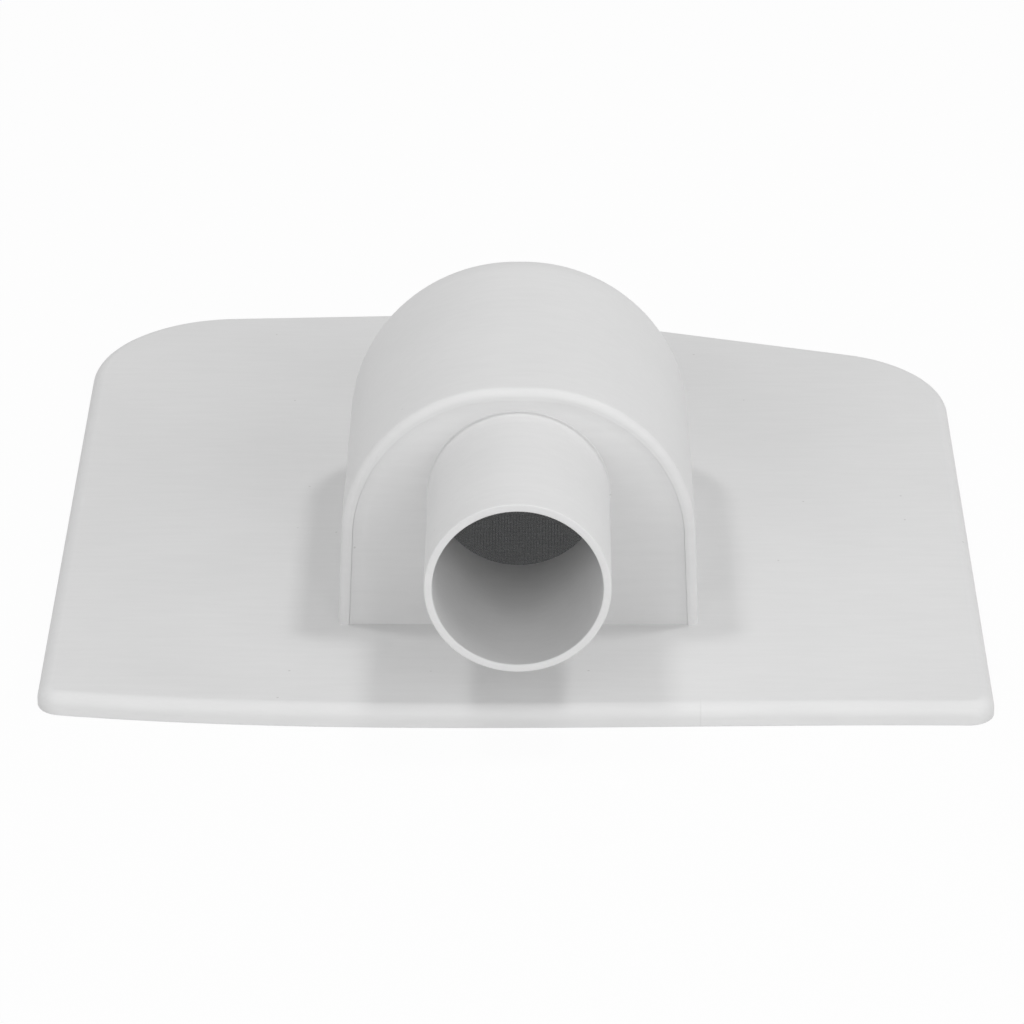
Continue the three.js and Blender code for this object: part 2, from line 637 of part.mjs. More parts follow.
screenScrewPlaces.forEach(([x, y], i) => {
  const screw = toGeometry(slotted(turnedUp(countersunkOutline(SCREEN_SCREW, 0, 0)), SCREEN_SCREW));
  const mesh = piece(`screen_screw_${i + 1}`, screw, finishes.steel);
  mesh.position.set(x, y, screenScrewStart);
  vent.add(mesh);
});

export default vent;
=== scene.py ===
# %% [markdown]
# # A low cowl vent in light grey plastic
#
# A cowl vent leads air through a boat's deck. This one is low: an arched hood stands on a wide flat flange,
# a bulkhead closes the hood's front, and a straight spigot comes out of it for a hose. The solids that this
# lesson starts from are faceted, as an engineer's model for a simulator is. Here each one gets its smooth
# surface, its small roundings and its material.
#
# The first cell loads those solids. The box round them is kept, so that the last cell can print it beside
# the box round the finished pieces, which have to be the same size.

import math

import bmesh
import bpy
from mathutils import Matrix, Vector


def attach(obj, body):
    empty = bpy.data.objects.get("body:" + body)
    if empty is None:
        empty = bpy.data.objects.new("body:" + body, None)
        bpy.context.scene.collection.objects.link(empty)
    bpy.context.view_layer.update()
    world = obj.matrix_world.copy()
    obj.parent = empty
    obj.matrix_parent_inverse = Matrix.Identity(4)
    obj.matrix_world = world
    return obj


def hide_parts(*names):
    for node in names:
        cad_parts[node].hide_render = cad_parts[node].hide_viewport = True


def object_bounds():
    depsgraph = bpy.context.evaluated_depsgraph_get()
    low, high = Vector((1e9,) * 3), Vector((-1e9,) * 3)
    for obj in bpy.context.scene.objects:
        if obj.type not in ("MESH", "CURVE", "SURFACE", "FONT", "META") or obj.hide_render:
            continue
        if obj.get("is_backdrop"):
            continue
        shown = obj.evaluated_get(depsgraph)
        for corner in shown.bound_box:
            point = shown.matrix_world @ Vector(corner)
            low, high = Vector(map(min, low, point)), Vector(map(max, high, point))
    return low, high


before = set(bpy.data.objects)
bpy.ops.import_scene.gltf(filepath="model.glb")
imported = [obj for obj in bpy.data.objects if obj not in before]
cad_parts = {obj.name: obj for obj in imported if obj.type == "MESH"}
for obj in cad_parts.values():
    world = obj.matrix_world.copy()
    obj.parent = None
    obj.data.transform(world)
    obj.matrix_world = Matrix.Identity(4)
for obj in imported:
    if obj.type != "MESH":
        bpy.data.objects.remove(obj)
solid_box = [list(corner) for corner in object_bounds()]
print("solids:", ", ".join(sorted(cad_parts)))

# %% [markdown]
# ## Sizes
#
# Blender counts in metres and a moulder in millimetres, so each size is written in millimetres times `MM`.
# The origin is in the flange's underside, straight below the spigot's axis, in the plane of the bulkhead's
# face. +Z is up, and the spigot points along -Y.

# %% Sizes that several pieces share
MM = 0.001
TOUCH = 0.001 * MM  # places closer than this count as the same
TOUCHING_GAP = 0.3 * MM  # room left round a piece that sits in another one

FLANGE_TOP = 4.65 * MM
HOOD_WALL = 2.4 * MM
HOOD_BACK = 83.3 * MM
BULKHEAD = 3 * MM
SPIGOT_RADIUS = 19.05 * MM
SHOULDER_RADIUS = 20.45 * MM
SPIGOT_AXIS = 35.45 * MM
SPIGOT_MOUTH = -43.8 * MM

# %% [markdown]
# ## Tools for modelling
#
# All pieces are modelled the way it is done by hand: add a primitive, open it in edit mode, select, and use
# one operator after another. In code a selection is made by place, so `pick` selects what passes a test,
# and `level` makes the test that is needed most: everything that lies in one plane.
#
# A new primitive comes in selected, and so are the loaded solids. That is why `begin` deselects everything
# first.

# %% Start a piece, and select parts of it
X, Y, Z = 0, 1, 2


def begin(name, primitive, **settings):
    """Adds a primitive as a new object and opens it in edit mode."""
    bpy.ops.object.select_all(action="DESELECT")
    primitive(**settings)
    bpy.context.object.name = name
    bpy.context.object.data.name = name
    bpy.ops.object.mode_set(mode="EDIT")


def parts(kind):
    """The vertices, edges or faces of the mesh that is open in edit mode."""
    mesh = bmesh.from_edit_mesh(bpy.context.object.data)
    return {"VERT": mesh.verts, "EDGE": mesh.edges, "FACE": mesh.faces}[kind]


def pick(kind, test):
    """Selects only the vertices, edges or faces that pass the test."""
    bpy.ops.mesh.select_mode(type=kind)
    bpy.ops.mesh.select_all(action="DESELECT")
    for part in parts(kind):
        if test(part):
            part.select_set(True)
    bpy.ops.mesh.select_mode(type=kind)


def pick_all():
    """Selects all of the open mesh."""
    bpy.ops.mesh.select_all(action="SELECT")


def level(axis, value):
    """A test that an edge or a face passes if all its corners have that value on that axis."""
    return lambda part: all(abs(corner.co[axis] - value) < TOUCH for corner in part.verts)


def put_vertex(index, place):
    """Moves one vertex of the open mesh to its place."""
    pick("VERT", lambda vertex: vertex.index == index)
    (vertex,) = [vertex for vertex in parts("VERT") if vertex.select]
    bpy.ops.transform.translate(value=place - vertex.co)


def close_up():
    """Merges what coincides, turns all faces outwards, leaves edit mode and returns the finished object."""
    pick_all()
    bpy.ops.mesh.remove_doubles(threshold=TOUCH)
    bpy.ops.mesh.normals_make_consistent(inside=False)
    bpy.ops.object.mode_set(mode="OBJECT")
    return bpy.context.object


# %% [markdown]
# Moulded parts are plates with rounded corners, standing on one another and cut out of one another. `plate`
# makes one from its corners. A vertex bevel rounds a flat corner: it draws a quarter circle that is
# squashed into the corner, so at a corner that isn't square its profile is set a little off the middle,
# which makes it a true arc.

# %% Plates with rounded corners
ARC_STEP = math.radians(2.5)  # how far each short side of a rounded corner turns
LEAST_RADIUS = 1.5 * MM  # no rounded corner is moved inwards until it is sharper than this


def plate(name, corners, low, high):
    """A plate from z = low to z = high, left open. Each corner is (x, y, radius), counter-clockwise."""
    begin(name, bpy.ops.mesh.primitive_circle_add, vertices=len(corners), fill_type="NGON")
    places = [Vector((x, y, low)) for x, y, _ in corners]
    for index, place in enumerate(places):
        put_vertex(index, place)
    for index, (_, _, radius) in enumerate(corners):
        if not radius:
            continue
        here = places[index]
        before = places[index - 1] - here
        after = places[(index + 1) % len(places)] - here
        half = before.angle(after) / 2
        bulge = math.sin(half) / (1 + math.sin(half))
        pick("VERT", lambda vertex: (vertex.co - here).length < TOUCH)
        bpy.ops.mesh.bevel(
            affect="VERTICES",
            offset=radius / math.tan(half),
            segments=math.ceil((math.pi - 2 * half) / ARC_STEP),
            profile=((1 + bulge) / 2) ** 2,
            clamp_overlap=False,
        )
    pick_all()
    bpy.ops.mesh.extrude_region_move(TRANSFORM_OT_translate={"value": (0, 0, high - low)})


def round_edges(test, radius, segments=4):
    """Rounds the edges of the open mesh that pass the test."""
    pick("EDGE", test)
    bpy.ops.mesh.bevel(affect="EDGES", offset=radius, segments=segments, clamp_overlap=False)


def moved_in(corners, distance):
    """The same corners moved inwards, or outwards by a negative distance, with their arcs concentric.

    A plain point that a rounded corner would pass on its way inwards is left out.
    """
    rounded = [Vector((x, y)) for x, y, radius in corners if radius]
    reach = distance + 2 * LEAST_RADIUS
    result = []
    for index, (x, y, radius) in enumerate(corners):
        here = Vector((x, y))
        if not radius and any((here - corner).length < reach for corner in rounded):
            continue
        before = (Vector(corners[index - 1][:2]) - here).normalized()
        after = (Vector(corners[(index + 1) % len(corners)][:2]) - here).normalized()
        inwards = Vector((before.y - after.y, after.x - before.x))
        place = here + inwards * distance / (1 - before.dot(after))
        result.append((place.x, place.y, max(radius - distance, LEAST_RADIUS) if radius else 0))
    return result


# %% [markdown]
# Round pieces are turned: a profile is spun about an axis, as on a lathe. A profile is a list of places,
# each a radius and a distance along the axis. Plain posts, holes and boxes need no profile, and a cylinder
# or a cube of the right size is enough as a boss or as a tool to cut with.

# %% Turned pieces
TURNED_STEPS = 48
SPIGOT_STEPS = 144


def turned(name, profile, steps, centre, axis):
    """A closed profile spun round an axis, left open. Each place is (radius, distance along the axis)."""
    begin(name, bpy.ops.mesh.primitive_circle_add, vertices=len(profile), fill_type="NOTHING")
    along = Vector(axis)
    outwards = Vector((1, 0, 0))
    for index, (radius, distance) in enumerate(profile):
        put_vertex(index, Vector(centre) + outwards * radius + along * distance)
    pick_all()
    bpy.ops.mesh.spin(steps=steps, angle=2 * math.pi, center=centre, axis=axis)
    pick_all()
    bpy.ops.mesh.remove_doubles(threshold=TOUCH)
    bpy.ops.mesh.delete_loose(use_verts=True, use_edges=True, use_faces=False)


# %% Posts and boxes
def post(name, radius, place, low, high):
    """A plain round post or hole, left open in edit mode."""
    begin(
        name,
        bpy.ops.mesh.primitive_cylinder_add,
        vertices=TURNED_STEPS,
        radius=radius,
        depth=high - low,
        location=(*place, (low + high) / 2),
    )


def box(name, x, y, z):
    """A box between two values on each axis, left open in edit mode."""
    begin(name, bpy.ops.mesh.primitive_cube_add, size=1)
    bpy.ops.transform.resize(value=(x[1] - x[0], y[1] - y[0], z[1] - z[0]))
    bpy.ops.transform.translate(value=((x[0] + x[1]) / 2, (y[0] + y[1]) / 2, (z[0] + z[1]) / 2))


# %% [markdown]
# Pieces are joined and cut with the Boolean modifier. Its tool is deleted as soon as the modifier is
# applied, so that only finished pieces stay in the scene. Most tools are made on the spot, so `join` and
# `cut` take the mesh that is still open in edit mode.

# %% Join and cut
def combine(piece, tool, how):
    """Joins a tool to the piece (UNION), cuts it out (DIFFERENCE) or keeps what they share (INTERSECT)."""
    bpy.ops.object.select_all(action="DESELECT")
    bpy.context.view_layer.objects.active = piece
    modifier = piece.modifiers.new(how.lower(), "BOOLEAN")
    modifier.operation = how
    modifier.solver = "MANIFOLD"
    modifier.object = tool
    bpy.ops.object.modifier_apply(modifier=modifier.name)
    bpy.data.objects.remove(tool)


def join(piece):
    """Joins the open mesh to the piece."""
    combine(piece, close_up(), "UNION")


def cut(piece):
    """Cuts the open mesh out of the piece."""
    combine(piece, close_up(), "DIFFERENCE")


# %% [markdown]
# ## Tools for materials
#
# A material is a tree of nodes. `add` adds any node with its settings and its links, and `linear` turns the
# hex value that a colour picker shows into the linear value that a shader counts with. Patterns read Object
# coordinates, which are metres here, so `cells` turns a real size in millimetres into a texture's scale.

# %% Nodes, colours and scales
def new_material(name):
    """A material whose tree is still empty."""
    material = bpy.data.materials.new(name)
    material.use_nodes = True
    material.node_tree.nodes.clear()
    return material


def add(owner, kind, settings, links=None):
    """Adds a node to a material or the world.

    Settings are its sockets' values or its own properties, and links join its sockets to outputs.
    """
    node = owner.node_tree.nodes.new(kind)
    for name, value in settings.items():
        if isinstance(name, int) or name in node.inputs:
            node.inputs[name].default_value = value
        else:
            setattr(node, name, value)
    for name, output in (links or {}).items():
        owner.node_tree.links.new(output, node.inputs[name])
    return node


def linear(hex_colour):
    """An sRGB hex value, such as 0xD4D4D4, as linear red, green, blue and alpha."""
    channels = [(hex_colour >> shift & 255) / 255 for shift in (16, 8, 0)]
    return [c / 12.92 if c <= 0.04045 else ((c + 0.055) / 1.055) ** 2.4 for c in channels] + [1]


def cells(size):
    """The scale at which a pattern's features are that many millimetres apart."""
    return 1000 / size


# %% [markdown]
# ### Light grey ASA, injection moulded
#
# The vent is moulded in ASA, a plastic that stays light in the sun. Its index of refraction is about 1.5.
# The mould is spark eroded, which leaves a fine even grain on the part and a soft sheen instead of a sharp
# reflection, so the roughness is middling. The real grain is about 0.1 mm and too fine to show, so it is
# drawn at 0.45 mm. Two more things tell a moulding from a flat grey: the melt flows in slightly uneven
# shades a centimetre or more across, and the polisher's strokes stay in the mould as faint streaks that lie
# crosswise. There are a few tiny dark specks, too, and on the flange's front edge a faint upright line
# where two parts of the mould met.

# %% The plastic of the vent
MOULD_LINE = (37.7 * MM, -36 * MM, 2.5 * MM)
MOULD_LINE_REACH = (0.25 * MM, 4 * MM, 4 * MM)
LENGTHENED = (0.12, 1, 1)  # makes a stroke eight times as long from left to right


def moulded_asa():
    """The vent's plastic: two greys with streaks, specks and a mould line, and a fine grain."""
    asa = new_material("light_grey_ASA_spark_eroded")
    place = add(asa, "ShaderNodeTexCoord", {}).outputs["Object"]

    flow = add(
        asa, "ShaderNodeTexNoise",
        {"Scale": cells(26), "Detail": 3, "Roughness": 0.45},
        {"Vector": place},
    )
    crosswise = add(asa, "ShaderNodeMapping", {"Scale": LENGTHENED}, {"Vector": place})
    strokes = add(
        asa, "ShaderNodeTexNoise",
        {"Scale": cells(1.6), "Detail": 4, "Roughness": 0.6},
        {"Vector": crosswise.outputs["Vector"]},
    )
    grain = add(asa, "ShaderNodeTexNoise", {"Scale": cells(0.45), "Detail": 2}, {"Vector": place})
    specks = add(asa, "ShaderNodeTexVoronoi", {"Scale": cells(9)}, {"Vector": place})

    shade = add(
        asa, "ShaderNodeMixRGB",
        {"Color1": linear(0xDADADA), "Color2": linear(0xE0E0E0)},
        {"Fac": flow.outputs["Fac"]},
    )
    stroked = add(
        asa, "ShaderNodeMapRange",
        {"From Min": 0.35, "From Max": 0.65, "To Min": 0.985, "To Max": 1.01},
        {"Value": strokes.outputs["Fac"]},
    )
    streaky = add(
        asa, "ShaderNodeVectorMath",
        {"operation": "SCALE"},
        {0: shade.outputs["Color"], "Scale": stroked.outputs["Result"]},
    )
    spotted = add(
        asa, "ShaderNodeMapRange",
        {"From Min": 0.022, "From Max": 0.034, "To Min": 0.35, "To Max": 0},
        {"Value": specks.outputs["Distance"]},
    )
    line = add(
        asa, "ShaderNodeMapping",
        {"vector_type": "TEXTURE", "Location": MOULD_LINE, "Scale": MOULD_LINE_REACH},
        {"Vector": place},
    )
    from_line = add(asa, "ShaderNodeVectorMath", {"operation": "LENGTH"}, {0: line.outputs["Vector"]})
    lined = add(
        asa, "ShaderNodeMapRange",
        {"From Min": 0.3, "From Max": 1, "To Min": 0.13, "To Max": 0},
        {"Value": from_line.outputs["Value"]},
    )
    marked = add(
        asa, "ShaderNodeMath",
        {"operation": "MAXIMUM"},
        {0: spotted.outputs["Result"], 1: lined.outputs["Result"]},
    )
    colour = add(
        asa, "ShaderNodeMixRGB",
        {"Color2": linear(0x9C9B99)},
        {"Fac": marked.outputs["Value"], "Color1": streaky.outputs["Vector"]},
    )
    sheen = add(
        asa, "ShaderNodeMapRange",
        {"From Min": 0.3, "From Max": 0.7, "To Min": 0.55, "To Max": 0.65},
        {"Value": strokes.outputs["Fac"]},
    )
    streaks = add(
        asa, "ShaderNodeBump",
        {"Strength": 0.12, "Distance": 0.05 * MM},
        {"Height": strokes.outputs["Fac"]},
    )
    eroded = add(
        asa, "ShaderNodeBump",
        {"Strength": 0.25, "Distance": 0.02 * MM},
        {"Height": grain.outputs["Fac"], "Normal": streaks.outputs["Normal"]},
    )
    surface = add(
        asa, "ShaderNodeBsdfPrincipled",
        {"IOR": 1.5},
        {
            "Base Color": colour.outputs["Color"],
            "Roughness": sheen.outputs["Result"],
            "Normal": eroded.outputs["Normal"],
        },
    )
    add(asa, "ShaderNodeOutputMaterial", {}, {"Surface": surface.outputs["BSDF"]})
    return asa


light_grey_asa = moulded_asa()
print("material:", light_grey_asa.name)

# %% [markdown]
# ### Rubber, foam, acetal and glass-fibre mesh
#
# The small parts below and inside share one recipe: a base colour that a fine pattern breaks up, with a
# bump from the same pattern. What makes each one itself is its colour, the size of the pattern and the
# roughness. Closed-cell foam has cells of about 0.8 mm and no shine. Moulded EPDM rubber is smooth but
# dull, with a bloom of pale dust. Acetal is the hard, slightly waxy plastic of the frame. The insect mesh
# is glass yarn with a light grey coat of vinyl.

# %% The finishes of the small parts
def small_part_finish(name, colours, pattern, size, roughness, depth, ior):
    """Two colours mixed by a pattern of that size in millimetres, with a bump that deep."""
    material = new_material(name)
    place = add(material, "ShaderNodeTexCoord", {}).outputs["Object"]
    kind, output = pattern
    relief = add(material, kind, {"Scale": cells(size)}, {"Vector": place}).outputs[output]
    colour = add(
        material, "ShaderNodeMixRGB",
        {"Color1": linear(colours[0]), "Color2": linear(colours[1])},
        {"Fac": relief},
    )
    bump = add(material, "ShaderNodeBump", {"Strength": 0.5, "Distance": depth}, {"Height": relief})
    surface = add(
        material, "ShaderNodeBsdfPrincipled",
        {"Roughness": roughness, "IOR": ior},
        {"Base Color": colour.outputs["Color"], "Normal": bump.outputs["Normal"]},
    )
    add(material, "ShaderNodeOutputMaterial", {}, {"Surface": surface.outputs["BSDF"]})
    print("material:", name)
    return material


NOISE = ("ShaderNodeTexNoise", "Fac")
CELLS = ("ShaderNodeTexVoronoi", "Distance")
epdm_foam = small_part_finish(
    "black_EPDM_closed_cell_foam", (0x2A2A2B, 0x3A3B3C), CELLS,
    size=0.8, roughness=0.92, depth=0.15 * MM, ior=1.52,
)
epdm_rubber = small_part_finish(
    "black_EPDM_moulded", (0x262627, 0x343536), NOISE,
    size=1.2, roughness=0.72, depth=0.02 * MM, ior=1.52,
)
acetal = small_part_finish(
    "dark_grey_acetal_moulded", (0x3D3F41, 0x45474A), NOISE,
    size=0.9, roughness=0.42, depth=0.02 * MM, ior=1.48,
)
vinyl_mesh = small_part_finish(
    "vinyl_coated_glass_mesh", (0xB2B3B4, 0xC0C1C2), NOISE,
    size=0.5, roughness=0.5, depth=0.01 * MM, ior=1.53,
)

# %% [markdown]
# ### Stainless steel, turned
#
# The screws are A4 stainless steel, bright from the header, with the fine rings of a turned face. The rings
# are about 0.05 mm apart on a real head and are drawn at 0.3 mm. They are centred on each screw, so the
# pattern reads coordinates that a Mapping node has moved to the screw's axis, and each screw has its own
# material.

# %% The steel of a screw
WAVE = math.pi / 10  # at a scale of 1 the rings of a Wave texture are that far apart


def turned_steel(name, centre):
    """Steel with fine rings round a screw's axis and a slightly uneven polish."""
    steel = new_material(name)
    place = add(steel, "ShaderNodeTexCoord", {}).outputs["Object"]
    to_axis = (-centre[0], -centre[1], 0)
    centred = add(steel, "ShaderNodeMapping", {"Location": to_axis}, {"Vector": place})
    rings = add(
        steel, "ShaderNodeTexWave",
        {"wave_type": "RINGS", "rings_direction": "Z", "Scale": cells(0.3) * WAVE, "Distortion": 0.4},
        {"Vector": centred.outputs["Vector"]},
    )
    stain = add(steel, "ShaderNodeTexNoise", {"Scale": cells(1.5), "Detail": 3}, {"Vector": place})
    roughness = add(
        steel, "ShaderNodeMapRange",
        {"To Min": 0.22, "To Max": 0.42},
        {"Value": stain.outputs["Fac"]},
    )
    bump = add(
        steel, "ShaderNodeBump",
        {"Strength": 0.3, "Distance": 0.01 * MM},
        {"Height": rings.outputs["Fac"]},
    )
    surface = add(
        steel, "ShaderNodeBsdfPrincipled",
        {"Base Color": linear(0xC4C6C8), "Metallic": 1},
        {"Roughness": roughness.outputs["Result"], "Normal": bump.outputs["Normal"]},
    )
    add(steel, "ShaderNodeOutputMaterial", {}, {"Surface": surface.outputs["BSDF"]})
    return steel


# %% [markdown]
# ## Finishing a piece
#
# `dress` does what each finished piece needs. Shading is smooth except across real edges. On a flat face
# with a rounding beside it, smooth shading would bend the light far into the flat, so a Weighted Normal
# modifier lets the large face keep its own normal. Then the piece gets its material and rides on the body,
# and the solid that it stands for is hidden.

# %% Shade, paint and place
EDGE_ANGLE = math.radians(32)


def dress(piece, material, solid):
    """Shades and paints a finished piece, and hides the solid that it stands for."""
    bpy.ops.object.select_all(action="DESELECT")
    piece.select_set(True)
    bpy.context.view_layer.objects.active = piece
    bpy.ops.object.transform_apply(location=True, rotation=True, scale=True)
    bpy.ops.object.shade_smooth_by_angle(angle=EDGE_ANGLE)
    weighted = piece.modifiers.new("flat_faces_keep_their_normal", "WEIGHTED_NORMAL")
    weighted.keep_sharp = True
    bpy.ops.object.modifier_apply(modifier=weighted.name)
    piece.data.materials.clear()
    piece.data.materials.append(material)
    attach(piece, "root")
    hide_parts(solid)
    span = " x ".join(f"{length / MM:.1f}" for length in piece.dimensions)
    print(f"{piece.name}: {span} mm, {len(piece.data.polygons)} faces")


# %% [markdown]
# ## The flange
#
# The flange is one plate, about 200 mm square, with a bowed front edge, tight front corners, wide rear
# corners and a rear edge that runs to a point near the middle. It could be drawn as a curve and filled, but
# a plate made from its corners is easier to change.

# %% The flange's corners
FLANGE_LEFT, FLANGE_RIGHT = -99.9 * MM, 98.7 * MM
FLANGE_FRONT, FLANGE_BACK = -37.7 * MM, 163.4 * MM
FRONT_LEFT, FRONT_RIGHT = FLANGE_FRONT + 5.8 * MM, FLANGE_FRONT + 1.5 * MM
PULL_LEFT, PULL_RIGHT = FLANGE_FRONT - 4.8 * MM, FLANGE_FRONT + 2.6 * MM
SWEEP_LEFT, SWEEP_RIGHT = math.radians(2.9), math.radians(16.9)
BOW_POINTS = 24
FRONT_ROUND = 5.5 * MM
REAR_RIGHT_ROUND, POINT_ROUND, REAR_LEFT_ROUND = 30.3 * MM, 40 * MM, 33 * MM


def bow(share):
    """A place on the bowed front edge, a cubic Bezier curve from the left corner at 0 to the right at 1."""
    rest = 1 - share
    ends = rest**3 * FRONT_LEFT + share**3 * FRONT_RIGHT
    pulls = 3 * share * rest * (rest * PULL_LEFT + share * PULL_RIGHT)
    return rest * FLANGE_LEFT + share * FLANGE_RIGHT, ends + pulls


flange_corners = [
    (*bow(0), FRONT_ROUND),
    *[(*bow(step / BOW_POINTS), 0) for step in range(1, BOW_POINTS)],
    (*bow(1), FRONT_ROUND),
    (FLANGE_RIGHT, FLANGE_BACK - FLANGE_RIGHT * math.tan(SWEEP_RIGHT), REAR_RIGHT_ROUND),
    (0, FLANGE_BACK, POINT_ROUND),
    (FLANGE_LEFT, FLANGE_BACK + FLANGE_LEFT * math.tan(SWEEP_LEFT), REAR_LEFT_ROUND),
]

# %% [markdown]
# The plate's top edge is rolled over with a radius of 3 mm, and its lower edge is only broken. Under the
# hood the flange has a window for the air, with a dam round it that keeps spray out, four bosses for the
# frame's screws, and a saddle with two buttresses that stands behind the spigot. All of them grow out of
# the plate.

# %% The plate
ROLLED_EDGE = 3 * MM
BROKEN_EDGE = 0.25 * MM

plate("vent_flange", flange_corners, 0, FLANGE_TOP)
round_edges(level(Z, FLANGE_TOP), ROLLED_EDGE, segments=10)
round_edges(level(Z, 0), BROKEN_EDGE, segments=2)
flange = close_up()

# %% The dam
WINDOW_HALF = 19.7 * MM
WINDOW_FRONT, WINDOW_BACK = 16 * MM, 70 * MM
WINDOW_RADIUS = 8 * MM
window_corners = [
    (-WINDOW_HALF, WINDOW_FRONT, WINDOW_RADIUS),
    (WINDOW_HALF, WINDOW_FRONT, WINDOW_RADIUS),
    (WINDOW_HALF, WINDOW_BACK, WINDOW_RADIUS),
    (-WINDOW_HALF, WINDOW_BACK, WINDOW_RADIUS),
]
DAM_WALL, DAM_TOP, DAM_EDGE = 2.4 * MM, 10.65 * MM, 0.7 * MM
INSIDE_PLATE = 3 * MM  # what grows out of the plate starts inside it

plate("dam", moved_in(window_corners, -DAM_WALL), INSIDE_PLATE, DAM_TOP)
round_edges(level(Z, DAM_TOP), DAM_EDGE)
join(flange)

# %% Bosses and saddle
SCREEN_SCREWS = [(side * 20.96 * MM, y * MM) for y in (14.74, 71.26) for side in (-1, 1)]
SCREEN_BOSS, SCREEN_BOSS_TOP = 3 * MM, 9.8 * MM
BOSS_EDGE = 0.6 * MM
for place in SCREEN_SCREWS:
    post("screen_boss", SCREEN_BOSS, place, INSIDE_PLATE, SCREEN_BOSS_TOP)
    round_edges(level(Z, SCREEN_BOSS_TOP), BOSS_EDGE)
    join(flange)

SADDLE_FRONT, SADDLE_BACK = 3.3 * MM, 5.8 * MM
SADDLE_HALF, SADDLE_TOP, SADDLE_EDGE = 10 * MM, 15.7 * MM, 0.5 * MM
BUTTRESS_INNER, BUTTRESS_TOP = 8 * MM, 12.65 * MM
BUTTRESS_FRONT, BUTTRESS_BACK = 4 * MM, 10 * MM
box("saddle", (-SADDLE_HALF, SADDLE_HALF), (SADDLE_FRONT, SADDLE_BACK), (INSIDE_PLATE, SADDLE_TOP))
round_edges(level(Z, SADDLE_TOP), SADDLE_EDGE)
join(flange)
for side in (-1, 1):
    width = sorted((side * BUTTRESS_INNER, side * SADDLE_HALF))
    box("buttress", width, (BUTTRESS_FRONT, BUTTRESS_BACK), (INSIDE_PLATE, BUTTRESS_TOP))
    join(flange)

# %% [markdown]
# Next come the cuts: the window and the pocket round it for the frame, the groove for the gasket, and
# pockets that lighten the underside. The pockets start as one grid. Each of its faces is inset by half a
# rib, the ribs are deleted, the corners are rounded and what is left is pulled up. The grid is then kept
# inside the rim, and off the field below the hood, which stays solid.

# %% Window, frame pocket and gasket groove
BELOW = -1 * MM  # tools start below the face that they open
ABOVE = 20 * MM
FRAME_LAND = 8 * MM
FRAME_TOP = 2.2 * MM

plate("window", window_corners, BELOW, ABOVE)
cut(flange)
plate("frame_pocket", moved_in(window_corners, -FRAME_LAND - TOUCHING_GAP), BELOW, FRAME_TOP)
cut(flange)

GASKET_OUT, GASKET_IN, GASKET_TOP = 5 * MM, 13 * MM, 2 * MM
plate("gasket_groove", moved_in(flange_corners, GASKET_OUT - TOUCHING_GAP), BELOW, GASKET_TOP)
groove = close_up()
plate("groove_core", moved_in(flange_corners, GASKET_IN + TOUCHING_GAP), 2 * BELOW, 2 * GASKET_TOP)
cut(groove)
combine(flange, groove, "DIFFERENCE")

# %% Pockets in the underside
PITCH, RIB, POCKET_TOP = 22 * MM, 2 * MM, 2.05 * MM
POCKET_CORNER = 1.5 * MM
COLUMNS, ROWS = 10, 10
FIRST_ROW = -36 * MM
INNER_RIM = 3 * MM  # between the gasket's groove and the pockets
SOLID_HALF = 44.3 * MM
SOLID_FRONT, SOLID_BACK = -14 * MM, 89.3 * MM

begin("pockets", bpy.ops.mesh.primitive_grid_add, x_subdivisions=COLUMNS, y_subdivisions=ROWS, size=1)
bpy.ops.transform.resize(value=(COLUMNS * PITCH, ROWS * PITCH, 1))
bpy.ops.transform.translate(value=(0, FIRST_ROW + ROWS * PITCH / 2, BELOW))
pick("FACE", lambda face: True)
bpy.ops.mesh.inset(thickness=RIB / 2, use_individual=True)
bpy.ops.mesh.select_all(action="INVERT")
bpy.ops.mesh.delete(type="FACE")
pick_all()
bpy.ops.mesh.bevel(affect="VERTICES", offset=POCKET_CORNER, segments=4, clamp_overlap=False)
pick_all()
bpy.ops.mesh.extrude_region_move(TRANSFORM_OT_translate={"value": (0, 0, POCKET_TOP - BELOW)})
pockets = close_up()
plate("pocket_rim", moved_in(flange_corners, GASKET_IN + INNER_RIM), 2 * BELOW, 2 * POCKET_TOP)
combine(pockets, close_up(), "INTERSECT")
box("solid_field", (-SOLID_HALF, SOLID_HALF), (SOLID_FRONT, SOLID_BACK), (2 * BELOW, 2 * POCKET_TOP))
cut(pockets)
combine(flange, pockets, "DIFFERENCE")

# %% [markdown]
# The last cuts are the screw holes and the groove for the seal under the hood. That groove follows the
# middle of the hood's wall: straight sides, square front corners and wide rear ones.

# %% Screw holes and the seal's groove
HOOD_SCREWS = [
    (-33.44 * MM, 12 * MM),
    (33.44 * MM, 12 * MM),
    (-33.2 * MM, 62.6 * MM),
    (33.2 * MM, 62.6 * MM),
]
SHANK_HOLE, HEAD_HOLE = 1.5 * MM, 3.2 * MM
SCREEN_PILOT, SCREEN_PILOT_TOP = 1.3 * MM, 7.8 * MM
for place in HOOD_SCREWS:
    post("shank_hole", SHANK_HOLE, place, BELOW, ABOVE)
    cut(flange)
    post("head_hole", HEAD_HOLE, place, BELOW, FRAME_TOP)
    cut(flange)
for place in SCREEN_SCREWS:
    post("pilot_hole", SCREEN_PILOT, place, BELOW, SCREEN_PILOT_TOP)
    cut(flange)

foot_line = [
    (-37.11 * MM, 1.5 * MM, 0),
    (37.11 * MM, 1.5 * MM, 0),
    (36.72 * MM, 82.1 * MM, 19.5 * MM),
    (-36.72 * MM, 82.1 * MM, 19.5 * MM),
]
SEAL_HALF = 0.6 * MM
SEAL_BOTTOM = 3.45 * MM


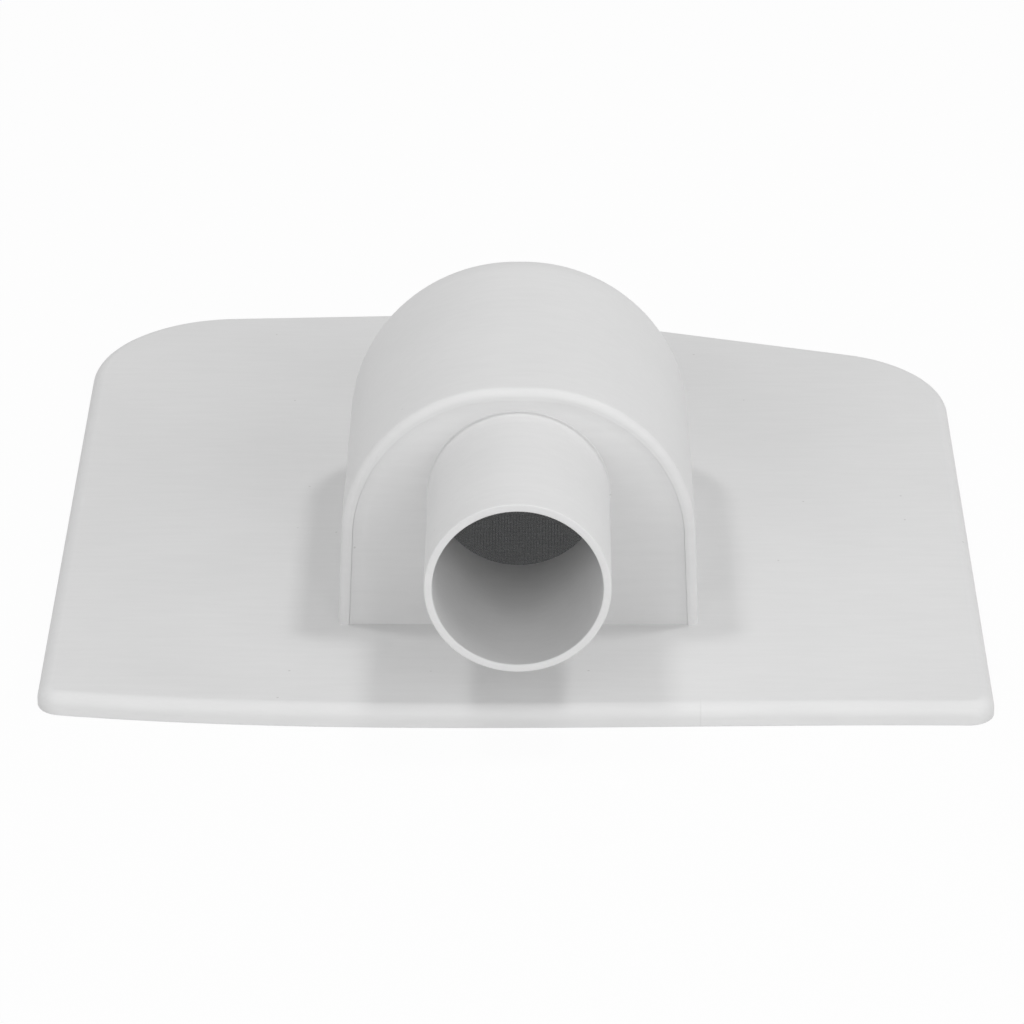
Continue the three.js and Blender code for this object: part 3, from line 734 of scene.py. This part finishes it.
def seal_ring(name, spare, low, high):
    """The ring that runs along the foot line, as wide as the seal and a little wider for its groove."""
    half = SEAL_HALF + spare
    plate(name, moved_in(foot_line, -half), low, high)
    ring = close_up()
    plate("core", moved_in(foot_line, half), low - MM, high + MM)
    cut(ring)
    return ring


combine(flange, seal_ring("seal_groove", TOUCHING_GAP, SEAL_BOTTOM, FLANGE_TOP + MM), "DIFFERENCE")
dress(flange, light_grey_asa, "flange_plate")

# %% [markdown]
# ## The hood
#
# The hood is an arch with sides that lean out a little, a rounded front rim and a domed rear. Its outside
# and its inside are the same form, one smaller than the other, so one helper makes both. It starts from a
# cone on its side, because the arch grows rounder towards the back, where the flat on its crown is
# narrower. The lower half goes, the halves move apart for that flat, the sides are pulled down to the foot,
# and both ends are closed.

# %% An arch on its feet
ARCH_SIDES = 122  # twice an odd number, so that corners lie at the springs and none on the crown
HOOD_HEIGHT = 54.9 * MM
HOOD_HALF_WIDTH = 37.4 * MM
HOOD_FRONT = -0.5 * MM
HOOD_TAPER = 0.3 * MM
CROWN, CROWN_LOSS = 2.7, 2.2  # millimetres: half the flat at the front, and how much narrower it gets
FLARE = math.tan(math.radians(2.6))


def arch_at(y):
    """Half the crown's flat, the arch's radius and its springs' height at a distance from the bulkhead."""
    share = (y - HOOD_FRONT) / (HOOD_BACK - HOOD_FRONT)
    half_crown = (CROWN - CROWN_LOSS * share) * MM
    radius = HOOD_HALF_WIDTH - HOOD_TAPER * share - half_crown
    return half_crown, radius, FLANGE_TOP + HOOD_HEIGHT - HOOD_TAPER * share - radius


def arch(name, inset, front, back, foot=FLANGE_TOP):
    """An arched block that lies that far inside the hood's outside, left open in edit mode."""
    ends = [(front, *arch_at(front)), (back, *arch_at(back))]
    _, _, front_radius, front_spring = ends[0]
    _, _, back_radius, _ = ends[1]
    begin(
        name,
        bpy.ops.mesh.primitive_cone_add,
        vertices=ARCH_SIDES,
        radius1=front_radius - inset,
        radius2=back_radius - inset,
        depth=back - front,
        location=(0, (front + back) / 2, front_spring),
        rotation=(-math.pi / 2, math.pi / 2, 0),
    )
    bpy.ops.object.mode_set(mode="OBJECT")
    bpy.ops.object.transform_apply(location=True, rotation=True, scale=True)
    bpy.ops.object.mode_set(mode="EDIT")
    pick("VERT", lambda vertex: vertex.co.z < front_spring - TOUCH)
    bpy.ops.mesh.delete(type="VERT")
    for y, half_crown, _, spring in ends:
        for side in (-1, 1):
            pick("VERT", lambda vertex: abs(vertex.co.y - y) < TOUCH and vertex.co.x * side > 0)
            bpy.ops.transform.translate(value=(side * half_crown, 0, spring - front_spring))

    def lowest_along(edge):
        """True for the two edges that run from front to back at the springs."""
        first, second = edge.verts
        low = max(first.co.z, second.co.z) < front_spring + TOUCH
        return low and abs(first.co.y - second.co.y) > TOUCH

    pick("EDGE", lowest_along)
    bpy.ops.mesh.extrude_region_move(TRANSFORM_OT_translate={"value": (0, 0, 0)})
    bpy.ops.transform.resize(value=(1, 1, 0), center_override=(0, 0, foot))
    for y, _, _, spring in ends:
        for side in (-1, 1):
            corner = lambda vertex: abs(vertex.co.z - foot) < TOUCH and abs(vertex.co.y - y) < TOUCH
            pick("VERT", lambda vertex: corner(vertex) and vertex.co.x * side > 0)
            bpy.ops.transform.translate(value=(side * (spring - foot) * FLARE, 0, 0))
    for axis, value in ((Y, front), (Y, back), (Z, foot)):
        pick("VERT", lambda vertex: abs(vertex.co[axis] - value) < TOUCH)
        bpy.ops.mesh.edge_face_add()


def rim(y, foot=FLANGE_TOP):
    """A test for the edges of an end, without the one on the foot."""
    return lambda edge: level(Y, y)(edge) and not level(Z, foot)(edge)


# %% [markdown]
# Bevels make the rounded rim and the dome. A bevel of 20.7 mm sounds large for an arch 75 mm wide, but it
# is just what the mould maker does: one ball cutter is run round the end of the arch. Then the inside is
# taken out in four steps, from the front: the mouth, the groove that holds the bulkhead, the passage
# through the rib behind it, and the main room. Four bosses in the room take the screws from below.

# %% The hood
DOME_ROUND, INNER_DOME_ROUND = 20.7 * MM, 18.3 * MM
RIM_ROUND = 1.9 * MM

arch("vent_hood", 0, HOOD_FRONT, HOOD_BACK)
round_edges(rim(HOOD_BACK), DOME_ROUND, segments=24)
round_edges(rim(HOOD_FRONT), RIM_ROUND, segments=8)
hood = close_up()

# %% The hood's inside
GROOVE_INSET = 1.4 * MM
GROOVE_BACK = BULKHEAD + TOUCHING_GAP
RIB_INSET, RIB_BACK = 4.6 * MM, 5.3 * MM
UNDER_FOOT = FLANGE_TOP - MM
rooms = [
    ("mouth", HOOD_WALL, 2 * HOOD_FRONT, GROOVE_BACK / 2),
    ("groove", GROOVE_INSET, 0, GROOVE_BACK),
    ("rib_passage", RIB_INSET, GROOVE_BACK / 2, 2 * RIB_BACK),
]
for name, inset, front, back in rooms:
    arch(name, inset, front, back, foot=UNDER_FOOT)
    cut(hood)
arch("room", HOOD_WALL, RIB_BACK, HOOD_BACK - HOOD_WALL, foot=UNDER_FOOT)
round_edges(rim(HOOD_BACK - HOOD_WALL, foot=UNDER_FOOT), INNER_DOME_ROUND, segments=20)
cut(hood)

HOOD_BOSS, HOOD_BOSS_TOP = 3.2 * MM, 14.2 * MM
HOOD_PILOT, HOOD_PILOT_TOP = 1.5 * MM, 12.2 * MM
for place in HOOD_SCREWS:
    post("hood_boss", HOOD_BOSS, place, FLANGE_TOP, HOOD_BOSS_TOP)
    round_edges(level(Z, HOOD_BOSS_TOP), BOSS_EDGE)
    join(hood)
    post("pilot_hole", HOOD_PILOT, place, BELOW, HOOD_PILOT_TOP)
    cut(hood)
dress(hood, light_grey_asa, "cowl_hood")

# %% [markdown]
# ## The bulkhead
#
# The bulkhead is a plate with the arch's outline. It sits in the hood's groove, so only its face shows,
# half a millimetre behind the rim. Near the rim the face rises in a shallow hollow rounding and ends in a
# fine joint line, and at the spigot it rises in a small collar. Without them each joint would show as a
# hard dark line. The rounding is what a tool with rounded edges leaves when it is pressed into a thicker
# plate. Behind the hole for the spigot is a step for the spigot's shoulder.

# %% The bulkhead's face
BORDER_RADIUS = 9 * MM
BORDER_FRONT = HOOD_FRONT + 0.15 * MM
BORDER_SINK = BORDER_RADIUS - math.sqrt(BORDER_RADIUS**2 - (BORDER_RADIUS + BORDER_FRONT) ** 2)
JOINT = 0.035 * MM  # the fine line that is left between bulkhead and rim

arch("vent_bulkhead", GROOVE_INSET + TOUCHING_GAP, 0, BULKHEAD)
bulkhead = close_up()
arch("border", HOOD_WALL + JOINT, BORDER_FRONT, BULKHEAD / 2)
join(bulkhead)
arch("hollow", HOOD_WALL - BORDER_SINK, -2 * BORDER_RADIUS, 0, foot=FLANGE_TOP - 2 * BORDER_RADIUS)
round_edges(level(Y, 0), BORDER_RADIUS, segments=24)
cut(bulkhead)

# %% The collar and the hole for the spigot
ALONG_SPIGOT = (0, 1, 0)
SPIGOT_CENTRE = (0, 0, SPIGOT_AXIS)
WEB = 1.2 * MM  # bulkhead left in front of the shoulder
SKIN = 0.03 * MM  # the collar's least thickness at its edge, and how far its foot sinks into the face
COLLAR = 0.4 * MM
COLLAR_STEPS = 6

collar_profile = [(0, WEB), (0, SKIN - COLLAR)]
for step in range(COLLAR_STEPS + 1):
    angle = math.pi / 2 * step / COLLAR_STEPS
    hollow_radius = SPIGOT_RADIUS + SKIN + COLLAR * (1 - math.cos(angle))
    collar_profile.append((hollow_radius, COLLAR * (math.sin(angle) - 1) + SKIN))
collar_profile.append((SPIGOT_RADIUS + SKIN + COLLAR, WEB))
turned("collar", collar_profile, SPIGOT_STEPS, SPIGOT_CENTRE, ALONG_SPIGOT)
join(bulkhead)

hole_profile = [
    (0, BELOW),
    (SPIGOT_RADIUS, BELOW),
    (SPIGOT_RADIUS, WEB),
    (SHOULDER_RADIUS + TOUCHING_GAP, WEB),
    (SHOULDER_RADIUS + TOUCHING_GAP, 2 * BULKHEAD),
    (0, 2 * BULKHEAD),
]
turned("spigot_hole", hole_profile, SPIGOT_STEPS, SPIGOT_CENTRE, ALONG_SPIGOT)
cut(bulkhead)
dress(bulkhead, light_grey_asa, "front_bulkhead")

# %% [markdown]
# ## The hose spigot
#
# A tube with a thin wall, which the hose is pushed over. It is turned from its profile: from the mouth back
# along the outside, out round the shoulder, and forward again through the bore, which is widened at its
# rear. The mouth's two edges are rounded, and those roundings are what catches the light. A flat rubber
# ring seals the shoulder against the bulkhead.

# %% The spigot and its seal
SPIGOT_WALL = 1.7 * MM
BORE = SPIGOT_RADIUS - SPIGOT_WALL
BORE_WIDENS = 1.3 * MM
SEAL_BACK = 1.7 * MM
MOUTH_EDGE = 0.35 * MM

spigot_profile = [
    (BORE, SPIGOT_MOUTH),
    (SPIGOT_RADIUS, SPIGOT_MOUTH),
    (SPIGOT_RADIUS, SEAL_BACK),
    (SHOULDER_RADIUS, SEAL_BACK),
    (SHOULDER_RADIUS, BULKHEAD),
    (SPIGOT_RADIUS, BULKHEAD),
    (BORE, BORE_WIDENS),
]
turned("vent_spigot", spigot_profile, SPIGOT_STEPS, SPIGOT_CENTRE, ALONG_SPIGOT)
round_edges(level(Y, SPIGOT_MOUTH), MOUTH_EDGE)
dress(close_up(), light_grey_asa, "hose_spigot")

ring_profile = [
    (SPIGOT_RADIUS + TOUCHING_GAP, WEB),
    (SHOULDER_RADIUS, WEB),
    (SHOULDER_RADIUS, SEAL_BACK),
    (SPIGOT_RADIUS + TOUCHING_GAP, SEAL_BACK),
]
turned("vent_spigot_seal", ring_profile, SPIGOT_STEPS, SPIGOT_CENTRE, ALONG_SPIGOT)
dress(close_up(), epdm_rubber, "spigot_seal")

# %% [markdown]
# ## Seals and gasket
#
# The seal under the hood is a square cord in its groove. The gasket under the rim is a strip cut from foam
# sheet, with a lower outer edge that the knife has left a little soft.

# %% The hood's seal and the gasket
GASKET_EDGE = 0.3 * MM

hood_seal = seal_ring("vent_hood_seal", 0, SEAL_BOTTOM, FLANGE_TOP)
dress(hood_seal, epdm_rubber, "hood_seal")

plate("vent_gasket", moved_in(flange_corners, GASKET_OUT), 0, GASKET_TOP)
round_edges(level(Z, 0), GASKET_EDGE, segments=3)
gasket = close_up()
plate("gasket_core", moved_in(flange_corners, GASKET_IN), BELOW, 2 * GASKET_TOP)
cut(gasket)
dress(gasket, epdm_foam, "flange_gasket")

# %% [markdown]
# ## The insect screen and its frame
#
# The frame is a flat ring that clamps the screen from below, with a countersunk hole in each corner. The
# screen is woven, and it is made as a weaver's pattern: a grid in which each crossing is lifted or lowered,
# once for the yarns that run across and once for those that run along. Each grid keeps only its own yarns,
# and turning them into a curve with a round section gives them their thickness.

# %% The frame
FRAME_BOTTOM, FRAME_EDGE = 0.2 * MM, 0.35 * MM
SCREEN_BOTTOM = 1.6 * MM
SCREEN_LAP = 2.5 * MM

plate("vent_screen_frame", moved_in(window_corners, -FRAME_LAND), FRAME_BOTTOM, FRAME_TOP)
round_edges(level(Z, FRAME_BOTTOM), FRAME_EDGE, segments=3)
screen_frame = close_up()
plate("frame_window", window_corners, BELOW, ABOVE)
cut(screen_frame)
plate("frame_rebate", moved_in(window_corners, -SCREEN_LAP - TOUCHING_GAP), SCREEN_BOTTOM, ABOVE)
cut(screen_frame)

UP = (0, 0, 1)
SINK_START = 0.4 * MM
SINK_RADIUS, SINK_HOLE = 2.3 * MM, 1.3 * MM
SINK_RIM, SINK_DEPTH, THROUGH = 0.2 * MM, 1.2 * MM, 4 * MM
sink_profile = [
    (0, 2 * BELOW),
    (SINK_RADIUS, 2 * BELOW),
    (SINK_RADIUS, SINK_RIM),
    (SINK_HOLE, SINK_DEPTH),
    (SINK_HOLE, THROUGH),
    (0, THROUGH),
]
for x, y in SCREEN_SCREWS:
    turned("sink", sink_profile, TURNED_STEPS, (x, y, SINK_START), UP)
    cut(screen_frame)
dress(screen_frame, acetal, "screen_frame")

# %% The woven screen
YARN_PITCH = 0.65 * MM
YARN_RADIUS = 0.09 * MM
SCREEN_MIDDLE = SCREEN_BOTTOM + 0.3 * MM
HALF_WAY = (WINDOW_FRONT + WINDOW_BACK) / 2
SCREEN_HALF_X = WINDOW_HALF + SCREEN_LAP
SCREEN_HALF_Y = HALF_WAY - WINDOW_FRONT + SCREEN_LAP
ACROSS = 2 * round(SCREEN_HALF_X / YARN_PITCH)  # meshes from left to right
LENGTHWISE = 2 * round(SCREEN_HALF_Y / YARN_PITCH)  # and from front to back
CORNER_RADIUS = WINDOW_RADIUS + SCREEN_LAP


def off_screen(part):
    """True for what lies outside the screen's rounded corners."""
    middle = sum((corner.co for corner in part.verts), Vector()) / len(part.verts)
    x = max(abs(middle.x) - (SCREEN_HALF_X - CORNER_RADIUS), 0)
    y = max(abs(middle.y - HALF_WAY) - (SCREEN_HALF_Y - CORNER_RADIUS), 0)
    return math.hypot(x, y) > CORNER_RADIUS - YARN_RADIUS


def parity(vertex):
    """0 or 1, in turn from one crossing of the grid to the next."""
    return (vertex.index % (ACROSS + 1) + vertex.index // (ACROSS + 1)) % 2


def yarns(name, axis):
    """The yarns that run along one axis, as one mesh."""
    width, length = 2 * SCREEN_HALF_X - 2 * YARN_RADIUS, 2 * SCREEN_HALF_Y - 2 * YARN_RADIUS
    begin(name, bpy.ops.mesh.primitive_grid_add, x_subdivisions=ACROSS, y_subdivisions=LENGTHWISE, size=1)
    bpy.ops.transform.resize(value=(width, length, 1))
    bpy.ops.transform.translate(value=(0, HALF_WAY, SCREEN_MIDDLE))
    lift = YARN_RADIUS if axis == X else -YARN_RADIUS
    for odd in (0, 1):
        pick("VERT", lambda vertex: parity(vertex) == odd)
        bpy.ops.transform.translate(value=(0, 0, lift if odd else -lift))

    def other_yarn(edge):
        """True for the edges that run along the other axis."""
        return abs(edge.verts[0].co[axis] - edge.verts[1].co[axis]) < TOUCH

    pick("EDGE", lambda edge: other_yarn(edge) or off_screen(edge))
    bpy.ops.mesh.delete(type="EDGE_FACE")
    pick_all()
    bpy.ops.mesh.delete(type="ONLY_FACE")
    pick_all()
    bpy.ops.mesh.delete_loose(use_verts=True, use_edges=False, use_faces=False)
    bpy.ops.object.mode_set(mode="OBJECT")
    bpy.ops.object.convert(target="CURVE")
    bpy.context.object.data.bevel_depth = YARN_RADIUS
    bpy.context.object.data.bevel_resolution = 1
    bpy.context.object.data.use_fill_caps = True
    bpy.ops.object.convert(target="MESH")
    bpy.ops.object.mode_set(mode="EDIT")
    return close_up()


weft = yarns("vent_insect_screen", X)
warp = yarns("warp", Y)
bpy.ops.object.select_all(action="DESELECT")
warp.select_set(True)
weft.select_set(True)
bpy.context.view_layer.objects.active = weft
bpy.ops.object.join()
dress(weft, vinyl_mesh, "insect_screen")

# %% [markdown]
# ## Screws
#
# Two kinds of screw hold the vent together, four of each. Both are turned from a profile with ridges in
# place of the thread, which sits out of sight in its boss, and both have a slot across the head. One of
# each kind is modelled at the origin, and its copies are moved to their places.

# %% Tools for the screws
SLOT = 1.1 * MM
SLOT_DEPTH = 0.6 * MM


def threaded(core, crest, start, end, pitch):
    """The ridges of a thread, from where it starts to just before the tip."""
    ridges = []
    turns = int((end - start) / pitch)
    for turn in range(turns):
        ridges += [(core, start + turn * pitch), (crest, start + (turn + 0.5) * pitch)]
    return ridges + [(core, start + turns * pitch)]


def screw(name, profile, head_radius, rounding):
    """A turned screw with its head down and a slot across it, at the origin."""
    turned(name, profile, TURNED_STEPS, (0, 0, 0), UP)
    if rounding:
        outer = lambda edge: all(corner.co.xy.length > head_radius / 2 for corner in edge.verts)
        round_edges(lambda edge: level(Z, 0)(edge) and outer(edge), rounding)
    piece = close_up()
    box("slot", (-2 * head_radius, 2 * head_radius), (-SLOT / 2, SLOT / 2), (BELOW, SLOT_DEPTH))
    cut(piece)
    return piece


def drive_in(master, name, places, height, solid):
    """Copies a screw, each copy with its own mesh, and puts each one in its place."""
    for index, (x, y) in enumerate(places, start=1):
        copy = bpy.data.objects.new(f"{name}_{index}", master.data.copy())
        bpy.context.scene.collection.objects.link(copy)
        copy.location = (x, y, height)
        steel = turned_steel(f"A4_stainless_turned_{name}_{index}", (x, y))
        dress(copy, steel, f"{solid}_{index}")
    bpy.data.objects.remove(master)


# %% The hood's screws
HEAD, HEAD_EDGE = 2.9 * MM, 0.8 * MM
HEAD_HEIGHT = 1.9 * MM
HEAD_START = 0.3 * MM  # the head's face is that far above the flange's underside

pan_profile = [
    (0, 0),
    (HEAD, 0),
    (HEAD, HEAD_HEIGHT),
    (1.2 * MM, HEAD_HEIGHT),
    *threaded(core=1.1 * MM, crest=1.42 * MM, start=2.4 * MM, end=9.8 * MM, pitch=1.1 * MM),
    (0, 10.9 * MM),
]
pan_screw = screw("pan_screw", pan_profile, HEAD, HEAD_EDGE)
drive_in(pan_screw, "vent_hood_screw", HOOD_SCREWS, HEAD_START, "hood_screw")

# %% The screen's screws
SUNK_HEAD = 2 * MM

sunk_profile = [
    (0, 0),
    (SUNK_HEAD, 0),
    (SUNK_HEAD, SINK_RIM),
    (1 * MM, SINK_DEPTH),
    *threaded(core=0.95 * MM, crest=1.22 * MM, start=1.8 * MM, end=5.4 * MM, pitch=0.8 * MM),
    (0, 6.4 * MM),
]
sunk_screw = screw("sunk_screw", sunk_profile, SUNK_HEAD, 0)
drive_in(sunk_screw, "vent_screen_screw", SCREEN_SCREWS, SINK_START, "screen_screw")

# %% [markdown]
# ## Floor, light and camera
#
# The photograph was taken on pure white in a soft, even light that comes from above and from the front, and
# a little from the right. The world is a white dome. What the camera sees of it, and what gloss or glass
# would show of it, has a strength of 1, which is white, while the light that it casts is set by itself.
# Soft boxes give the forms their direction: two in front, which light the bulkhead and the flange's edge, a
# weaker one on the right, and two small ones above, which cast the faint shadows beside the hood. The
# camera sees none of them.
#
# The floor is mostly its own white light, so that it stays white and still shows a soft shadow where the
# vent stands. The bore looks through the hood and its window at the floor below. Within 60 mm of the
# hood's middle the floor's own light is turned down to a dim grey, a painted shade in place of the shade
# below the hood, and a small weak lamp below the screen lights the hood's inside.

# %% The rays that show the background
def background_rays(owner):
    """1 for the rays that show a background, to the eye or in gloss or glass, 0 for those that light."""
    rays = add(owner, "ShaderNodeLightPath", {})
    seen = rays.outputs["Is Camera Ray"]
    for kind in ("Is Glossy Ray", "Is Transmission Ray"):
        either = add(owner, "ShaderNodeMath", {"operation": "MAXIMUM"}, {0: seen, 1: rays.outputs[kind]})
        seen = either.outputs["Value"]
    return seen


# %% The floor
FLOOR_SIZE = 8
OWN_LIGHT = 0.95  # the share of the floor that is its own light
# Painted shade: below the hood the floor's own light is turned down to a dim grey
PAINTED_SHADE_GLOW = 0.09  # how strong that light is below the hood
PAINTED_SHADE_RADIUS = 60 * MM

bpy.ops.object.select_all(action="DESELECT")
bpy.ops.mesh.primitive_plane_add(size=FLOOR_SIZE, location=(0, 0, 0))
floor = bpy.context.object
floor.name = "studio_floor"
floor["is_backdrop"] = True

white = new_material("white_studio_floor")
paper = add(white, "ShaderNodeBsdfDiffuse", {"Color": linear(0xE6E6E6)})
place = add(white, "ShaderNodeTexCoord", {}).outputs["Object"]
from_hood = add(
    white, "ShaderNodeVectorMath",
    {"operation": "DISTANCE", 1: (0, HALF_WAY, 0)},
    {0: place},
)
# Painted shade: within 60 mm of the hood's middle the floor glows only dimly, standing in for the shade
# below the hood
open_floor = add(
    white, "ShaderNodeMath",
    {"operation": "GREATER_THAN", 1: PAINTED_SHADE_RADIUS},
    {0: from_hood.outputs["Value"]},
)
glow_strength = add(
    white, "ShaderNodeMapRange",
    {"To Min": PAINTED_SHADE_GLOW, "To Max": 1},
    {"Value": open_floor.outputs["Value"]},
)
glow = add(
    white, "ShaderNodeEmission",
    {"Color": (1, 1, 1, 1)},
    {"Strength": glow_strength.outputs["Result"]},
)
glow_share = add(
    white, "ShaderNodeMath",
    {"operation": "MULTIPLY", 1: OWN_LIGHT},
    {0: background_rays(white)},
)
floor_shader = add(
    white, "ShaderNodeMixShader",
    {},
    {"Fac": glow_share.outputs["Value"], 1: paper.outputs["BSDF"], 2: glow.outputs["Emission"]},
)
add(white, "ShaderNodeOutputMaterial", {}, {"Surface": floor_shader.outputs["Shader"]})
white.cycles.emission_sampling = "NONE"
floor.data.materials.append(white)

# %% The dome
DOME_LIGHT = 0.352

world = bpy.data.worlds.new("white_dome")
bpy.context.scene.world = world
world.use_nodes = True
world.node_tree.nodes.clear()
strength = add(
    world, "ShaderNodeMapRange",
    {"To Min": DOME_LIGHT, "To Max": 1},
    {"Value": background_rays(world)},
)
dome = add(
    world, "ShaderNodeBackground",
    {"Color": (1, 1, 1, 1)},
    {"Strength": strength.outputs["Result"]},
)
add(world, "ShaderNodeOutputWorld", {}, {"Surface": dome.outputs["Background"]})

# %% The lamps
MIDDLE = (0, 0.04, 0.02)
FRONT_BOX, SIDE_BOX, TOP_BOX = 0.75, 0.5, 0.17  # their sides in metres
CABIN_BOX, CABIN_HEIGHT = 36 * MM, 0.5 * MM


def soft_box(name, place, size, energy, aim=MIDDLE):
    """A square lamp that shines from its place towards the aim."""
    bpy.ops.object.light_add(type="AREA", location=place)
    lamp = bpy.context.object
    lamp.name = name
    lamp.data.shape = "SQUARE"
    lamp.data.size = size
    lamp.data.energy = energy
    lamp.rotation_euler = (Vector(aim) - lamp.location).to_track_quat("-Z", "Y").to_euler()
    lamp.visible_camera = False
    print(f"{name}: {size:.3f} m, {energy} W")


soft_box("front_left_lamp", (-0.62, -1.08, 0.6), FRONT_BOX, 4.75)
soft_box("front_right_lamp", (0.62, -1.08, 0.6), FRONT_BOX, 4.85)
soft_box("right_lamp", (1.23, -0.22, 0.6), SIDE_BOX, 2.1)
soft_box("top_left_lamp", (-0.41, 0.16, 1.2), TOP_BOX, 2.5)
soft_box("top_right_lamp", (0.41, 0.16, 1.2), TOP_BOX, 3.0)
soft_box("cabin_light", (0, HALF_WAY, CABIN_HEIGHT), CABIN_BOX, 0.0011, aim=(0, HALF_WAY, 1))

# %% [markdown]
# The camera stands a good metre away with a long lens, which is why the vent's sides hardly converge. Its
# place and lens were found by matching the spigot's round mouth and the flange's edges in the photograph.

# %% The camera
SENSOR, LENS = 36, 185.5  # millimetres
CAMERA_PLACE = (3.3 * MM, -993.4 * MM, 522.1 * MM)
CAMERA_AIM = Vector((-1.36, 0, 31.2)) * MM

camera_data = bpy.data.cameras.new("photo_camera")
camera = bpy.data.objects.new("photo_camera", camera_data)
bpy.context.scene.collection.objects.link(camera)
camera_data.sensor_width = SENSOR
camera_data.lens = LENS
camera.location = CAMERA_PLACE
camera.rotation_euler = (CAMERA_AIM - camera.location).to_track_quat("-Z", "Y").to_euler()
bpy.context.scene.camera = camera
bpy.context.scene.view_settings.view_transform = "Standard"
print(f"camera: {LENS} mm lens, {(CAMERA_AIM - camera.location).length:.2f} m from its aim")

# %% [markdown]
# ## Print the sizes
#
# The finished pieces have to fill the same box as the solids. Both boxes are printed.

# %% The two boxes
finished_box = [list(corner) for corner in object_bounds()]
print("solids' box:", solid_box)
print("finished box:", finished_box)
